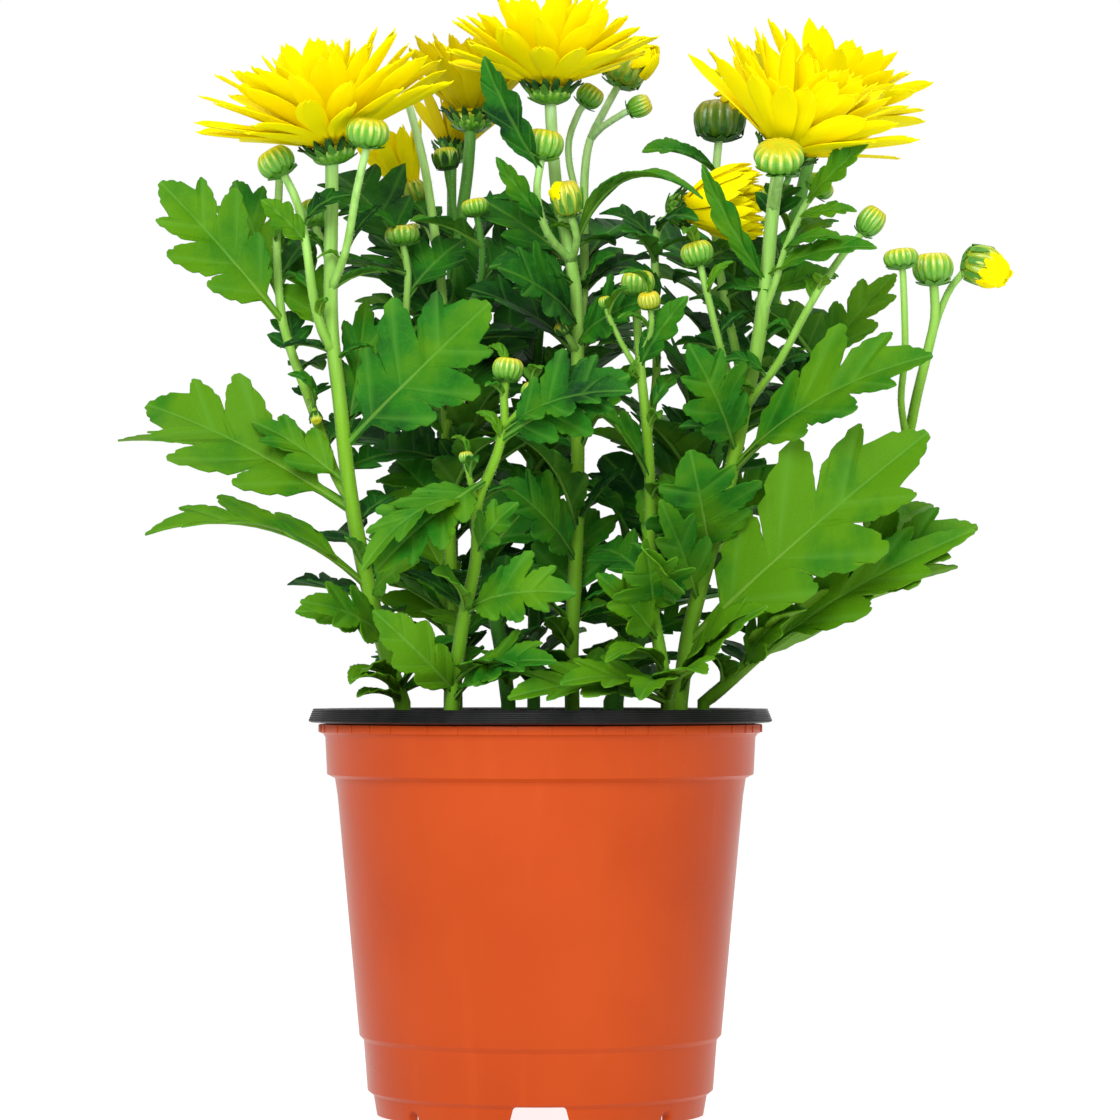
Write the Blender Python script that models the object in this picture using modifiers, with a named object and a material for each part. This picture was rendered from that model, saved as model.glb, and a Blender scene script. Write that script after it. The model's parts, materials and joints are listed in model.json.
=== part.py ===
"""Pot chrysanthemum in a black pot liner and an orange plastic pot. Metres, +Z up.

Each leafy stem is one solid with its side branches, leaves, closed buds and the green involucre under each
bloom. Each bloom is a second solid that sits on its involucre. Points on the plant are written as the column
and row of the photograph in pixels, with the depth behind the pot's axis in millimetres, and seen() turns
them into metres. Every other length is a real size.
"""

import math
import random

import bmesh
import bpy
from mathutils import Matrix, Vector
from mathutils.bvhtree import BVHTree
from mathutils.geometry import delaunay_2d_cdt

MM = 0.001
GAP = 0.3 * MM

# The eye that took the photograph, for seen(): millimetres from the pot's axis and foot, and pixels
EYE_SIDE = 5.5
EYE_DISTANCE = 1185.0
EYE_HEIGHT = 121.2
FOCAL_PIXELS = 4217.0
MIDDLE_PIXEL = 560.0
EYE_PITCH = math.radians(1.617)

# Pot: a 13 cm nursery pot. An outline is (radius, height) in millimetres, a wall's inner side first.
POT_SIDES = 24
RIM_RADIUS = 65.0
RIM_HEIGHT = 112.9
ORANGE_RIM = (62.05, 108.6)
FLOOR_UNDERSIDE = 6.5
FLOOR_TOP = 8.0
LINER_FLOOR = 8.6
BODY_TOP = (56.8, 88.6)
BODY_BOTTOM = (50.7, 22.0)
FOOT_RING = (43.2, 46.0)
WALL = 1.4
LINER_WALL = 1.0
WIDE_NOTCH = (14.0 * MM, 17.0 * MM, 6.0 * MM)
WIDE_NOTCH_ANGLES = (0, 90, 180, 270)
SMALL_NOTCH = (4.0 * MM, 3.3 * MM)
SMALL_NOTCH_ANGLES = (42, 138, 222, 318)
NOTCH_MIDDLE = 45 * MM
NOTCH_DEPTH = 10 * MM
BELOW_FOOT = 2 * MM

# Soil
SOIL_EDGE_HEIGHT = 109.5
SOIL_MOUND_HEIGHT = 112.5
HOLE_SLACK = 0.9 * MM
HOLE_BOTTOM = 84.0 * MM
HOLE_TOP = 118.5 * MM
STEM_BOTTOM = 86.0 * MM
STEM_CLEAR_OF_SOIL = 114.5 * MM

# Leaves, petals and stems
BLADE = 0.8 * MM
KEEL = 1.1 * MM
PATH_STEP = 34 * MM
CORE_LEVELS = ((0.86, 0.0), (1.0, 0.30), (0.84, 0.62), (0.52, 0.86))
LONG_PETAL = 26
TIP_SHARE = 0.06
BUD_RINGS = ((0.52, 0.90), (-0.42, 0.94))
SEED = 11

ORANGE = (0.78, 0.13, 0.035, 1)
BLACK = (0.016, 0.018, 0.017, 1)
PEAT = (0.030, 0.019, 0.012, 1)
GREEN = (0.10, 0.30, 0.045, 1)
YELLOW = (0.95, 0.74, 0.0, 1)


# Where things stand

def seen(column, row, depth):
    """The point, in metres, at a pixel of the photograph and a depth in millimetres behind the pot's axis."""
    above = math.atan((MIDDLE_PIXEL - row) / FOCAL_PIXELS) + EYE_PITCH
    distance = EYE_DISTANCE + depth
    height = EYE_HEIGHT + distance * math.tan(above)
    along = distance * math.cos(EYE_PITCH) + (height - EYE_HEIGHT) * math.sin(EYE_PITCH)
    side = EYE_SIDE + (column - MIDDLE_PIXEL) * along / FOCAL_PIXELS
    return Vector((side, depth, height)) * MM


def row_of(point):
    """The photograph's row of a point in metres."""
    rise = math.atan2(point.z / MM - EYE_HEIGHT, EYE_DISTANCE + point.y / MM)
    return MIDDLE_PIXEL - FOCAL_PIXELS * math.tan(rise - EYE_PITCH)


def smooth_path(points):
    """A Catmull-Rom curve through the points, as a list of points about PATH_STEP apart."""
    ends = [2 * points[0] - points[1], *points, 2 * points[-1] - points[-2]]
    path = [points[0].copy()]
    for a, b, c, d in zip(ends, ends[1:], ends[2:], ends[3:]):
        count = max(1, round((c - b).length / PATH_STEP))
        for k in range(1, count + 1):
            t = k / count
            bend = (2 * a - 5 * b + 4 * c - d) * t * t + (3 * b - a - 3 * c + d) * t ** 3
            path.append(b + ((c - a) * t + bend) / 2)
    return path


def at_row(path, row):
    """The point where a path crosses a row of the photograph, or its nearer end."""
    for a, b in zip(path, path[1:]):
        low, high = row_of(a), row_of(b)
        if min(low, high) <= row <= max(low, high):
            return a.lerp(b, (row - low) / ((high - low) or 1))
    return min((path[0], path[-1]), key=lambda end: abs(row_of(end) - row)).copy()


# The plant: for each leafy stem its root in the soil (x, y in millimetres), its branches and its leaves.
# A branch is name: (parent, row where it leaves the parent, start and end thickness in millimetres, points).
# Its end holds a bud: (width, height) in millimetres, or an involucre: (top radius, height, way it faces).
# A leaf is (branch, row where it leaves, tip, half-width in millimetres, way its face looks, outline, arch).

UP = (0, 0, 1)

STEMS = {
    "stem_left": {
        "root": (-38, -17),
        "branches": {
            "main": (None, 0, 4.8, 3.8, [(387, 655, -18), (366, 575, -20), (350, 490, -20), (340, 400, -18),
                                         (332, 330, -16), (331, 260, -15), (332, 200, -14), (332, 146, -14)]),
            "front": ("main", 290, 2.4, 2.2, [(346, 250, -23), (357, 190, -32), (366, 150, -36),
                                              (368, 132, -37)]),
            "side": ("main", 352, 2.8, 2.3, [(322, 330, -18), (313, 295, -19), (307, 250, -20),
                                             (298, 205, -19), (284, 175, -18), (276, 162, -18)]),
            "behind": ("main", 268, 2.2, 2.2, [(322, 242, -3), (316, 228, 3), (315, 213, 4)]),
            "outer": ("main", 500, 3.2, 2.2, [(336, 475, -16), (322, 435, -11), (304, 385, -8),
                                              (291, 350, -6), (281, 310, -4), (277, 245, -2), (279, 190, 0),
                                              (280, 167, 1)]),
            "tiny": ("outer", 400, 1.8, 1.8, [(314, 409, -14), (316, 418, -16)]),
        },
        "ends": {"main": (6.6, 5.5, (-0.24, -0.08, 1)), "front": (12.0, 8.7), "side": (10.7, 8.7),
                 "behind": (9.4, 8.4), "outer": (6.2, 5.2), "tiny": (3.6, 3.4)},
        "leaves": [
            ("outer", 322, (160, 182, -12), 19, (-0.45, -0.6, 0.65), "big", 3),
            ("outer", 300, (235, 181, 16), 10, (-0.3, -0.6, 0.7), "mid", 3),
            ("side", 242, (261, 200, -24), 4.5, (-0.3, -0.8, 0.5), "lance", 2),
            ("main", 352, (245, 235, 18), 9, (-0.3, -0.7, 0.7), "mid", 4),
            ("main", 512, (147, 405, 6), 18, (-0.25, -0.75, 0.6), "big", 5),
            ("main", 507, (118, 441, 52), 10, UP, "mid", 6),
            ("main", 587, (145, 535, -30), 14, (-0.1, 0.05, 1), "big", 10),
            ("main", 637, (295, 612, -38), 7, (0, -0.4, 0.9), "lance", 4),
            ("main", 688, (350, 684, -44), 5, (-0.2, -0.3, 0.9), "lance", 5),
            ("main", 488, (270, 424, -2), 8, (-0.3, -0.6, 0.7), "mid", 3),
            ("main", 446, (490, 303, -33), 19, (0.1, -0.95, 0.35), "big", 2),
            ("main", 450, (366, 300, 2), 8, (0.2, -0.8, 0.6), "mid", 3),
        ],
    },
    "stem_left_inner": {
        "root": (-24, 12),
        "branches": {
            "main": (None, 0, 4.2, 2.2, [(455, 650, 13), (452, 590, 11), (449, 500, 9), (446, 400, 8),
                                         (443, 310, 8), (440, 268, 8), (433, 220, 10), (425, 168, 12),
                                         (412, 115, 16), (403, 86, 18), (400, 72, 19)]),
            "low": ("main", 405, 2.2, 2.0, [(424, 370, 3), (407, 324, 0), (408, 273, -2), (403, 246, -3),
                                            (402, 235, -3)]),
            "half_open": ("main", 245, 2.4, 2.4, [(426, 222, 18), (416, 202, 26), (410, 190, 28)]),
        },
        "ends": {"main": (7.0, 6.4), "low": (10.0, 6.0), "half_open": (4.2, 5.0, (-0.45, 0.1, 1))},
        "leaves": [
            ("main", 520, (395, 462, 24), 13, (-0.2, -0.75, 0.6), "mid", 4),
            ("main", 400, (402, 330, 26), 10, (-0.2, -0.75, 0.6), "mid", 4),
            ("main", 640, (392, 556, 34), 14, (-0.2, -0.6, 0.75), "mid", 5),
        ],
    },
    "stem_second": {
        "root": (-9, 8),
        "branches": {
            "main": (None, 0, 4.4, 3.4, [(500, 640, 9), (483, 560, 12), (467, 470, 17), (456, 380, 21),
                                         (452, 310, 25), (454, 270, 28), (461, 220, 32), (468, 170, 36),
                                         (472, 113, 40)]),
            "low": ("main", 330, 2.1, 1.9, [(470, 306, 14), (481, 280, 6), (482, 245, 0), (477, 217, -4),
                                            (475, 207, -4)]),
            "behind": ("main", 240, 2.0, 2.0, [(453, 205, 30), (448, 175, 30), (446, 158, 30)]),
        },
        "ends": {"main": (6.4, 6.0, (0.02, -0.05, 1)), "low": (7.9, 5.4), "behind": (7.6, 7.0)},
        "leaves": [
            ("main", 560, (560, 480, 24), 14, (0.2, -0.75, 0.6), "mid", 4),
            ("main", 420, (520, 340, 24), 13, (0.2, -0.75, 0.6), "mid", 4),
            ("main", 330, (516, 240, 40), 11, (0.2, -0.7, 0.65), "mid", 4),
        ],
    },
    "stem_front": {
        "root": (-24, -36),
        "branches": {
            "main": (None, 0, 4.4, 2.2, [(463, 624, -39), (476, 560, -42), (478, 502, -44), (488, 477, -45),
                                         (498, 452, -46), (505, 420, -46), (504, 398, -46), (508, 369, -46)]),
            "right": ("main", 430, 1.9, 1.8, [(518, 413, -48), (528, 402, -48), (532, 392, -48)]),
            "left": ("main", 505, 1.7, 1.6, [(470, 480, -46), (467, 466, -46), (466, 457, -46)]),
        },
        "ends": {"main": (8.7, 7.0), "right": (6.2, 5.3), "left": (4.0, 3.4)},
        "leaves": [
            ("main", 430, (632, 392, -70), 11, (0.05, -0.75, 0.7), "big", 4),
            ("main", 500, (362, 571, -72), 8, (-0.45, -0.75, 0.45), "mid", 7),
            ("main", 612, (576, 594, -60), 10, (0, -0.65, 0.8), "big", 5),
            ("main", 615, (432, 572, -56), 6, (0, -0.7, 0.7), "lance", 3),
            ("main", 555, (519, 503, -52), 7, (0, -0.8, 0.6), "mid", 2),
            ("main", 690, (392, 603, -50), 11, (-0.3, -0.7, 0.6), "big", 6),
            ("main", 684, (522, 668, -62), 8, (0, -0.35, 0.95), "mid", 4),
        ],
    },
    "stem_centre": {
        "root": (9, -6),
        "branches": {
            "main": (None, 0, 4.4, 3.4, [(572, 640, -7), (576, 560, -6), (578, 470, -5), (578, 380, -4),
                                         (577, 310, -3), (574, 278, -3), (566, 236, -3), (557, 190, -4),
                                         (552, 130, -6), (550, 86, -8)]),
            "second": ("main", 335, 2.8, 2.2, [(584, 290, 4), (584, 215, 8), (585, 170, 11), (590, 140, 14),
                                               (603, 113, 20), (620, 82, 27)]),
            "hidden": ("second", 215, 2.0, 2.0, [(571, 172, 12), (569, 140, 13), (580, 110, 13),
                                                 (590, 96, 13)]),
            "twin": ("second", 138, 2.0, 2.0, [(602, 127, 9), (624, 113, 5), (640, 106, 4)]),
            "opening": ("main", 262, 2.2, 2.2, [(577, 238, -10), (570, 214, -14)]),
            "upright": ("main", 262, 2.2, 2.2, [(547, 232, -12), (537, 195, -18), (541, 162, -20),
                                                (544, 144, -20)]),
            "dark": ("main", 352, 1.8, 1.8, [(569, 338, -9), (563, 328, -10)]),
        },
        "ends": {"main": (6.4, 5.5, (0.0, -0.05, 1)), "second": (5.0, 5.5, (0.45, 0, 1)),
                 "hidden": (8.0, 7.0), "twin": (6.4, 7.4), "opening": (3.6, 4.5, (-0.2, -0.25, 1)),
                 "upright": (11.2, 9.0), "dark": (5.4, 3.8)},
        "leaves": [
            ("main", 285, (489, 268, -16), 8, (-0.1, -0.7, 0.7), "mid", 4),
            ("second", 290, (616, 255, -8), 5, (0.1, -0.7, 0.7), "lance", 2),
            ("upright", 168, (484, 56, -36), 6, (-0.5, -0.8, 0.3), "lance", 2),
            ("upright", 222, (496, 157, -28), 3.5, (-0.4, -0.8, 0.4), "lance", 2),
            ("opening", 248, (703, 199, -32), 6, (0, -0.1, 1), "lance", 13),
            ("main", 562, (500, 482, -26), 12, (-0.1, -0.8, 0.6), "big", 3),
            ("main", 676, (500, 668, -34), 8, (0, -0.3, 0.95), "mid", 5),
            ("main", 690, (606, 682, -52), 9, (0, -0.35, 0.95), "big", 5),
            ("main", 480, (622, 544, 14), 7, (0.2, -0.6, 0.7), "lance", 4),
        ],
    },
    "stem_middle_right": {
        "root": (35, -30),
        "branches": {
            "main": (None, 0, 4.0, 2.4, [(661, 655, -29), (652, 605, -28), (650, 560, -27), (650, 480, -26),
                                         (646, 420, -25), (641, 370, -24), (637, 315, -24), (638, 283, -24)]),
            "right": ("main", 356, 1.7, 1.6, [(651, 332, -31), (651, 314, -34), (649, 300, -35)]),
            "left": ("main", 378, 1.6, 1.5, [(621, 342, -26), (608, 314, -27), (605, 302, -27)]),
            "cup": ("main", 432, 2.4, 2.4, [(656, 380, -14), (656, 300, -6), (655, 245, -4), (662, 222, -4),
                                            (676, 213, -4), (686, 209, -4)]),
        },
        "ends": {"main": (9.5, 8.0), "right": (6.4, 5.3), "left": (3.8, 3.6),
                 "cup": (5.0, 6.0, (1, -0.15, 0.1))},
        "leaves": [
            ("main", 605, (642, 548, -56), 12, (0, -0.85, 0.5), "big", 2),
            ("cup", 262, (622, 231, -22), 6, (0, -0.6, 0.8), "lance", 2),
            ("main", 366, (688, 296, -36), 5, (0.2, -0.8, 0.6), "lance", 2),
            ("main", 672, (605, 662, -60), 5, (0, -0.5, 0.85), "lance", 5),
            ("main", 692, (640, 700, -68), 7, (0, -0.5, 0.85), "lance", 4),
        ],
    },
    "stem_right": {
        "root": (39, -8),
        "branches": {
            "main": (None, 0, 4.8, 3.8, [(685, 660, -9), (691, 625, -9), (708, 560, -11), (725, 500, -13),
                                         (738, 440, -14), (745, 405, -15), (757, 350, -16), (766, 285, -18),
                                         (772, 220, -20), (778, 175, -22), (785, 152, -24)]),
            "front": ("main", 208, 2.4, 2.2, [(776, 190, -30), (779, 174, -38), (779, 156, -41)]),
            "inner": ("main", 316, 2.0, 1.9, [(776, 280, -21), (785, 250, -23), (800, 215, -24),
                                              (812, 194, -24), (820, 186, -24)]),
            "outer": ("main", 408, 2.4, 2.0, [(762, 385, -20), (780, 360, -23), (811, 303, -26),
                                              (840, 258, -27), (863, 232, -27), (871, 221, -27)]),
            "left": ("main", 414, 2.2, 2.0, [(731, 380, -18), (721, 350, -21), (711, 310, -23),
                                             (701, 268, -23), (697, 253, -23)]),
            "back": ("main", 430, 2.6, 2.4, [(740, 375, -4), (727, 310, 8), (717, 250, 14), (715, 200, 15),
                                             (717, 160, 14), (720, 132, 13)]),
        },
        "ends": {"main": (6.6, 5.5, (0.45, -0.12, 1)), "front": (14.0, 8.6), "inner": (8.7, 5.6),
                 "outer": (7.6, 9.0), "left": (9.3, 7.3), "back": (6.4, 7.5, (0.0, 0, 1))},
        "leaves": [
            ("main", 556, (690, 450, -44), 17, (-0.1, -0.85, 0.5), "big", 3),
            ("main", 470, (933, 356, -46), 18, (0.2, -0.7, 0.7), "big", 6),
            ("main", 643, (904, 430, -52), 25, (0.25, -0.8, 0.5), "big", 4),
            ("main", 690, (766, 606, -48), 10, (0.1, -0.7, 0.6), "mid", 4),
            ("inner", 202, (868, 144, -44), 5, (0.3, -0.8, 0.5), "lance", 1),
            ("inner", 217, (857, 211, -34), 3, (0.2, -0.8, 0.5), "lance", 1),
            ("inner", 250, (841, 238, -38), 3.5, (0.2, -0.8, 0.5), "lance", 2),
            ("main", 276, (877, 248, -42), 6, (0.1, -0.75, 0.65), "lance", 3),
            ("main", 298, (838, 276, -4), 5, (0.1, -0.75, 0.65), "lance", 3),
            ("main", 282, (702, 164, -38), 4, (-0.5, -0.8, 0.3), "lance", 2),
            ("back", 172, (642, 152, 2), 6, (-0.1, -0.6, 0.8), "lance", 3),
        ],
    },
    "stem_back_bloom": {
        "root": (20, 20),
        "branches": {
            "main": (None, 0, 4.4, 3.6, [(640, 640, 21), (682, 540, 24), (728, 430, 25), (764, 330, 27),
                                         (790, 240, 31), (808, 165, 35), (815, 128, 37)]),
            "low": ("main", 412, 2.0, 1.9, [(775, 400, 22), (812, 378, 16), (824, 356, 14)]),
        },
        "ends": {"main": (6.4, 5.5, (0.27, 0.05, 1)), "low": (6.4, 6.2)},
        "leaves": [
            ("low", 374, (896, 274, 26), 8, (0.2, -0.6, 0.7), "mid", 3),
            ("main", 560, (800, 470, 40), 12, (0.2, -0.5, 0.8), "big", 6),
            ("main", 450, (850, 400, 52), 9, (0.2, -0.3, 0.9), "mid", 5),
            ("main", 330, (690, 300, 50), 8, (-0.2, -0.3, 0.9), "mid", 4),
            ("main", 250, (830, 225, 52), 7, (0.2, -0.2, 0.9), "mid", 4),
        ],
    },
    "stem_far_right": {
        "root": (46, 4),
        "branches": {
            "main": (None, 0, 4.0, 2.6, [(722, 688, 3), (762, 652, 2), (805, 615, 0), (850, 562, -6),
                                         (882, 515, -12), (905, 450, -18), (917, 396, -22), (927, 355, -24),
                                         (935, 318, -24), (934, 285, -24), (933, 268, -24)]),
            "outer": ("main", 342, 2.0, 2.0, [(940, 312, -22), (952, 286, -19), (972, 263, -18)]),
            "front": ("main", 442, 2.0, 1.9, [(901, 400, -28), (905, 350, -33), (903, 275, -35),
                                              (901, 258, -35)]),
        },
        "ends": {"main": (11.5, 9.5), "outer": (4.6, 5.0, (1, -0.1, -0.25)), "front": (9.8, 6.0)},
        "leaves": [
            ("main", 620, (978, 527, -28), 15, (0.05, -0.55, 0.85), "big", 5),
            ("main", 690, (970, 568, -12), 11, (0, 0.05, 1), "mid", 6),
            ("main", 562, (932, 505, 28), 8, (0.1, -0.6, 0.7), "mid", 3),
            ("main", 662, (794, 610, -30), 7, (0.1, -0.7, 0.7), "mid", 3),
        ],
    },
    "stem_back_left": {
        "root": (-26, 32),
        "branches": {
            "main": (None, 0, 4.2, 2.8, [(452, 600, 36), (452, 490, 43), (452, 370, 50), (452, 250, 57),
                                         (452, 180, 62), (453, 148, 64)]),
            "bud": ("main", 330, 2.2, 2.0, [(428, 290, 58), (416, 255, 62), (414, 236, 64)]),
        },
        "ends": {"main": (4.6, 5.0, (0.1, 0.35, 1)), "bud": (8.8, 7.4)},
        "leaves": [],
    },
    "stem_back_middle": {
        "root": (-2, 34),
        "branches": {
            "main": (None, 0, 4.0, 2.4, [(534, 600, 38), (531, 500, 43), (534, 410, 48), (540, 330, 52),
                                         (545, 282, 54), (546, 264, 54)]),
            "bud": ("main", 420, 2.2, 2.0, [(556, 380, 56), (570, 350, 62), (572, 332, 64)]),
        },
        "ends": {"main": (9.5, 7.6), "bud": (8.4, 7.0)},
        "leaves": [],
    },
    "stem_back_right": {
        "root": (22, 34),
        "branches": {
            "main": (None, 0, 4.2, 2.6, [(628, 620, 38), (660, 510, 46), (698, 400, 52), (730, 300, 56),
                                         (748, 225, 58), (752, 196, 58)]),
            "bud": ("main", 380, 2.2, 2.0, [(736, 352, 60), (760, 326, 66), (768, 306, 68)]),
            "second": ("main", 250, 2.0, 2.0, [(770, 215, 66), (788, 180, 70), (790, 164, 70)]),
        },
        "ends": {"main": (10.2, 8.0), "bud": (8.8, 7.4), "second": (9.0, 7.6)},
        "leaves": [],
    },
}

# Leaves by rule, as stem: (first row, leaves, rows between them, first heading, reach, half-width, slope).
# Each leaf stands a golden angle further round its stem, and those of a back stem are turned to the back.
GOLDEN_ANGLE = math.radians(137.5)
RULED_ARCH = 5
RULED_LEAVES = {
    "stem_left_inner": (590, 3, 80, 2.6, 40, 13, 0.9),
    "stem_second": (630, 3, 84, 0.4, 40, 14, 0.9),
    "stem_centre": (620, 3, 84, 1.2, 40, 14, 0.9),
    "stem_middle_right": (560, 2, 80, 0.9, 36, 12, 0.9),
    "stem_back_bloom": (600, 3, 84, 0.8, 42, 14, 0.8),
    "stem_back_left": (620, 5, 74, 2.4, 46, 16, 0.6),
    "stem_back_middle": (620, 4, 74, 1.2, 44, 16, 0.6),
    "stem_back_right": (620, 5, 74, 0.2, 46, 16, 0.6),
}

# Blooms: (stem, branch, petals in a ring, core radius, core height, rings), all in millimetres and degrees.
# A ring is (elevation, petal length, petal width, take every nth petal, how far the petal curls up).
BLOOMS = {
    "bloom_left_front": ("stem_left", "main", 13, 6.6, 6.5,
                         [(26, 34, 8.6, 1, -8), (42, 32, 7.2, 1, -6), (62, 25, 6.4, 2, 6)]),
    "bloom_second": ("stem_second", "main", 10, 6.2, 6.5,
                     [(42, 23, 7.4, 1, 6), (58, 22, 6.4, 1, 4), (72, 19, 5.6, 2, 4)]),
    "bloom_top": ("stem_centre", "main", 12, 6.2, 6.2,
                  [(28, 28, 7.8, 1, -4), (44, 28, 7.0, 1, -2), (64, 23, 6.0, 2, 6)]),
    "bloom_right_front": ("stem_right", "main", 13, 6.6, 6.5,
                          [(35, 32, 8.4, 1, -6), (49, 31, 7.2, 1, -4), (66, 25, 6.0, 2, 4)]),
    "bloom_right_back": ("stem_back_bloom", "main", 12, 6.4, 6.4,
                         [(28, 31, 8.2, 1, -6), (44, 30, 7.2, 1, -4), (64, 24, 6.0, 2, 4)]),
    "bloom_half_open_right": ("stem_middle_right", "cup", 8, 5.2, 5.0,
                              [(58, 20, 6.2, 1, 4), (70, 19, 5.4, 1, 2)]),
    "bloom_half_open_left": ("stem_left_inner", "half_open", 7, 4.2, 4.4,
                             [(66, 18, 5.2, 1, 4), (78, 17, 4.2, 1, 2)]),
    "bloom_opening_top": ("stem_centre", "second", 7, 4.6, 4.6, [(46, 10, 5.4, 1, 30)]),
    "bloom_opening_back": ("stem_right", "back", 8, 6.0, 5.4, [(66, 9, 5.8, 1, 20), (74, 9, 4.6, 2, 10)]),
    "bloom_opening_centre": ("stem_centre", "opening", 6, 3.4, 3.6, [(64, 9, 4.6, 1, 24)]),
    "bloom_opening_far_right": ("stem_far_right", "outer", 7, 4.4, 4.4, [(54, 10, 5.2, 1, 26)]),
    "bloom_back_left": ("stem_back_left", "main", 8, 4.6, 4.8,
                        [(52, 18, 6.0, 1, 6), (68, 17, 4.8, 1, 4)]),
}

# One side of each leaf outline: (share of the way to the tip, share of the half-width)
OUTLINES = {
    "big": [(0, 0.08), (0.24, 0.09), (0.36, 0.78), (0.47, 0.38), (0.60, 1.0), (0.68, 0.38), (0.82, 0.64),
            (0.93, 0.36)],
    "mid": [(0, 0.10), (0.26, 0.11), (0.46, 1.0), (0.57, 0.42), (0.76, 0.70)],
    "lance": [(0, 0.25), (0.34, 0.85), (0.68, 0.85)],
}
RIBS = {"big": (0.34, 0.58, 0.80), "mid": (0.36, 0.68), "lance": (0.5,)}
FOLD = 0.22
WAVE = 0.05
TURNS = (0, 6, -6, 12, -12, 18, -18, 26, -26, 34, -34)
LIFTS = (0, 6, -6, 12, -12, 20)


# Helpers

def clear_scene():
    for old in list(bpy.data.objects):
        bpy.data.objects.remove(old, do_unlink=True)


def new_collection(name):
    made = bpy.data.collections.new(name)
    bpy.context.scene.collection.children.link(made)
    return made


def material(name, colour, roughness):
    made = bpy.data.materials.new(name)
    made.use_nodes = True
    shader = made.node_tree.nodes["Principled BSDF"]
    shader.inputs["Base Color"].default_value = colour
    shader.inputs["Roughness"].default_value = roughness
    shader.inputs["Metallic"].default_value = 0
    return made


def add_mesh(name, bm, collection):
    """A mesh object from a bmesh, with its faces pointing out."""
    bmesh.ops.recalc_face_normals(bm, faces=bm.faces)
    if bm.calc_volume(signed=True) < 0:
        bmesh.ops.reverse_faces(bm, faces=bm.faces)
    mesh = bpy.data.meshes.new(name)
    bm.to_mesh(mesh)
    bm.free()
    made = bpy.data.objects.new(name, mesh)
    collection.objects.link(made)
    return made


def as_mesh(source, collection):
    """Makes a curve object a mesh object with welded caps, and removes the curve."""
    graph = bpy.context.evaluated_depsgraph_get()
    mesh = bpy.data.meshes.new_from_object(source.evaluated_get(graph))
    bm = bmesh.new()
    bm.from_mesh(mesh)
    bmesh.ops.remove_doubles(bm, verts=bm.verts, dist=0.01 * MM)
    name = source.name
    bpy.data.objects.remove(source, do_unlink=True)
    bpy.data.meshes.remove(mesh)
    return add_mesh(name, bm, collection)


def tube(name, path, start, end, collection, sides=4):
    """A tapered tube along a path; start and end are radii."""
    curve = bpy.data.curves.new(name, "CURVE")
    curve.dimensions = "3D"
    curve.bevel_depth = start
    curve.bevel_resolution = (sides - 4) // 2
    curve.use_fill_caps = True
    spline = curve.splines.new("POLY")
    spline.points.add(len(path) - 1)
    for k, (point, co) in enumerate(zip(spline.points, path)):
        point.co = (*co, 1)
        point.radius = 1 + (end / start - 1) * k / (len(path) - 1)
    made = bpy.data.objects.new(name, curve)
    collection.objects.link(made)
    return as_mesh(made, collection)


def turned(name, profile, collection, sides=POT_SIDES):
    """A solid turned from a profile of (radius, height) whose ends lie on the axis."""
    bm = bmesh.new()
    verts = [bm.verts.new((radius, 0, height)) for radius, height in profile]
    for a, b in zip(verts, verts[1:]):
        bm.edges.new((a, b))
    mesh = bpy.data.meshes.new(name)
    bm.to_mesh(mesh)
    bm.free()
    made = bpy.data.objects.new(name, mesh)
    collection.objects.link(made)
    screw = made.modifiers.new("Turn", "SCREW")
    screw.steps = sides
    screw.render_steps = sides
    screw.use_merge_vertices = True
    screw.merge_threshold = 0.00001
    return made


def cut(target, cutters, solver="EXACT"):
    """Adds a Boolean that cuts a collection of cutters from the target."""
    boolean = target.modifiers.new("Cut", "BOOLEAN")
    boolean.operation = "DIFFERENCE"
    boolean.operand_type = "COLLECTION"
    boolean.collection = cutters
    boolean.solver = solver


def tree_of(made):
    """A search tree of a mesh object's triangles."""
    bm = bmesh.new()
    bm.from_mesh(made.data)
    found = BVHTree.FromBMesh(bm)
    bm.free()
    return found


# Pot, liner and soil

def make_pot_outer(parts, cutters):
    """The orange pot: raised floor, ring, rim band, tapered body, stepped foot with drainage notches."""
    rim, rim_height = ORANGE_RIM
    outside = [ORANGE_RIM, (rim, rim_height - 2.1), (rim - 1.5, rim_height - 2.7), (rim - 2.4, 94.7),
               (BODY_TOP[0] + 0.8, 93.5), BODY_TOP, BODY_BOTTOM, (BODY_BOTTOM[0] - 1.2, 20.7), (48.4, 7.0),
               (47.0, 5.4), (FOOT_RING[1], 0)]
    foot = [(FOOT_RING[0], 0), (FOOT_RING[0] + 0.4, FLOOR_UNDERSIDE), (0, FLOOR_UNDERSIDE)]
    inside = [(0, FLOOR_TOP), (46.6, FLOOR_TOP), (BODY_TOP[0] - WALL, 88.6), (BODY_TOP[0] - 0.6, 93.9),
              (rim - 2.3 - WALL, 95.2), (rim - 1.45, rim_height)]
    profile = [(radius * MM, height * MM) for radius, height in inside + outside + foot]
    pot = turned("pot_outer", profile, parts)
    for angle in WIDE_NOTCH_ANGLES:
        add_wide_notch(angle, cutters)
    for angle in SMALL_NOTCH_ANGLES:
        add_small_notch(angle, cutters)
    cut(pot, cutters)
    return pot


def add_wide_notch(angle, cutters):
    """A block that leaves a notch a little wider at the foot than at its top."""
    top, bottom, height = WIDE_NOTCH
    flare = (bottom - top) / height * BELOW_FOOT
    bm = bmesh.new()
    bmesh.ops.create_cube(bm, size=1)
    for vert in bm.verts:
        wide, level = (top, height) if vert.co.z > 0 else (bottom + flare, -BELOW_FOOT)
        vert.co = Vector((vert.co.x * NOTCH_DEPTH + NOTCH_MIDDLE, vert.co.y * wide, level))
    bmesh.ops.rotate(bm, verts=bm.verts, matrix=Matrix.Rotation(math.radians(angle), 3, "Z"))
    add_cutter(f"wide_notch_{angle}", bm, cutters)


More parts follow.
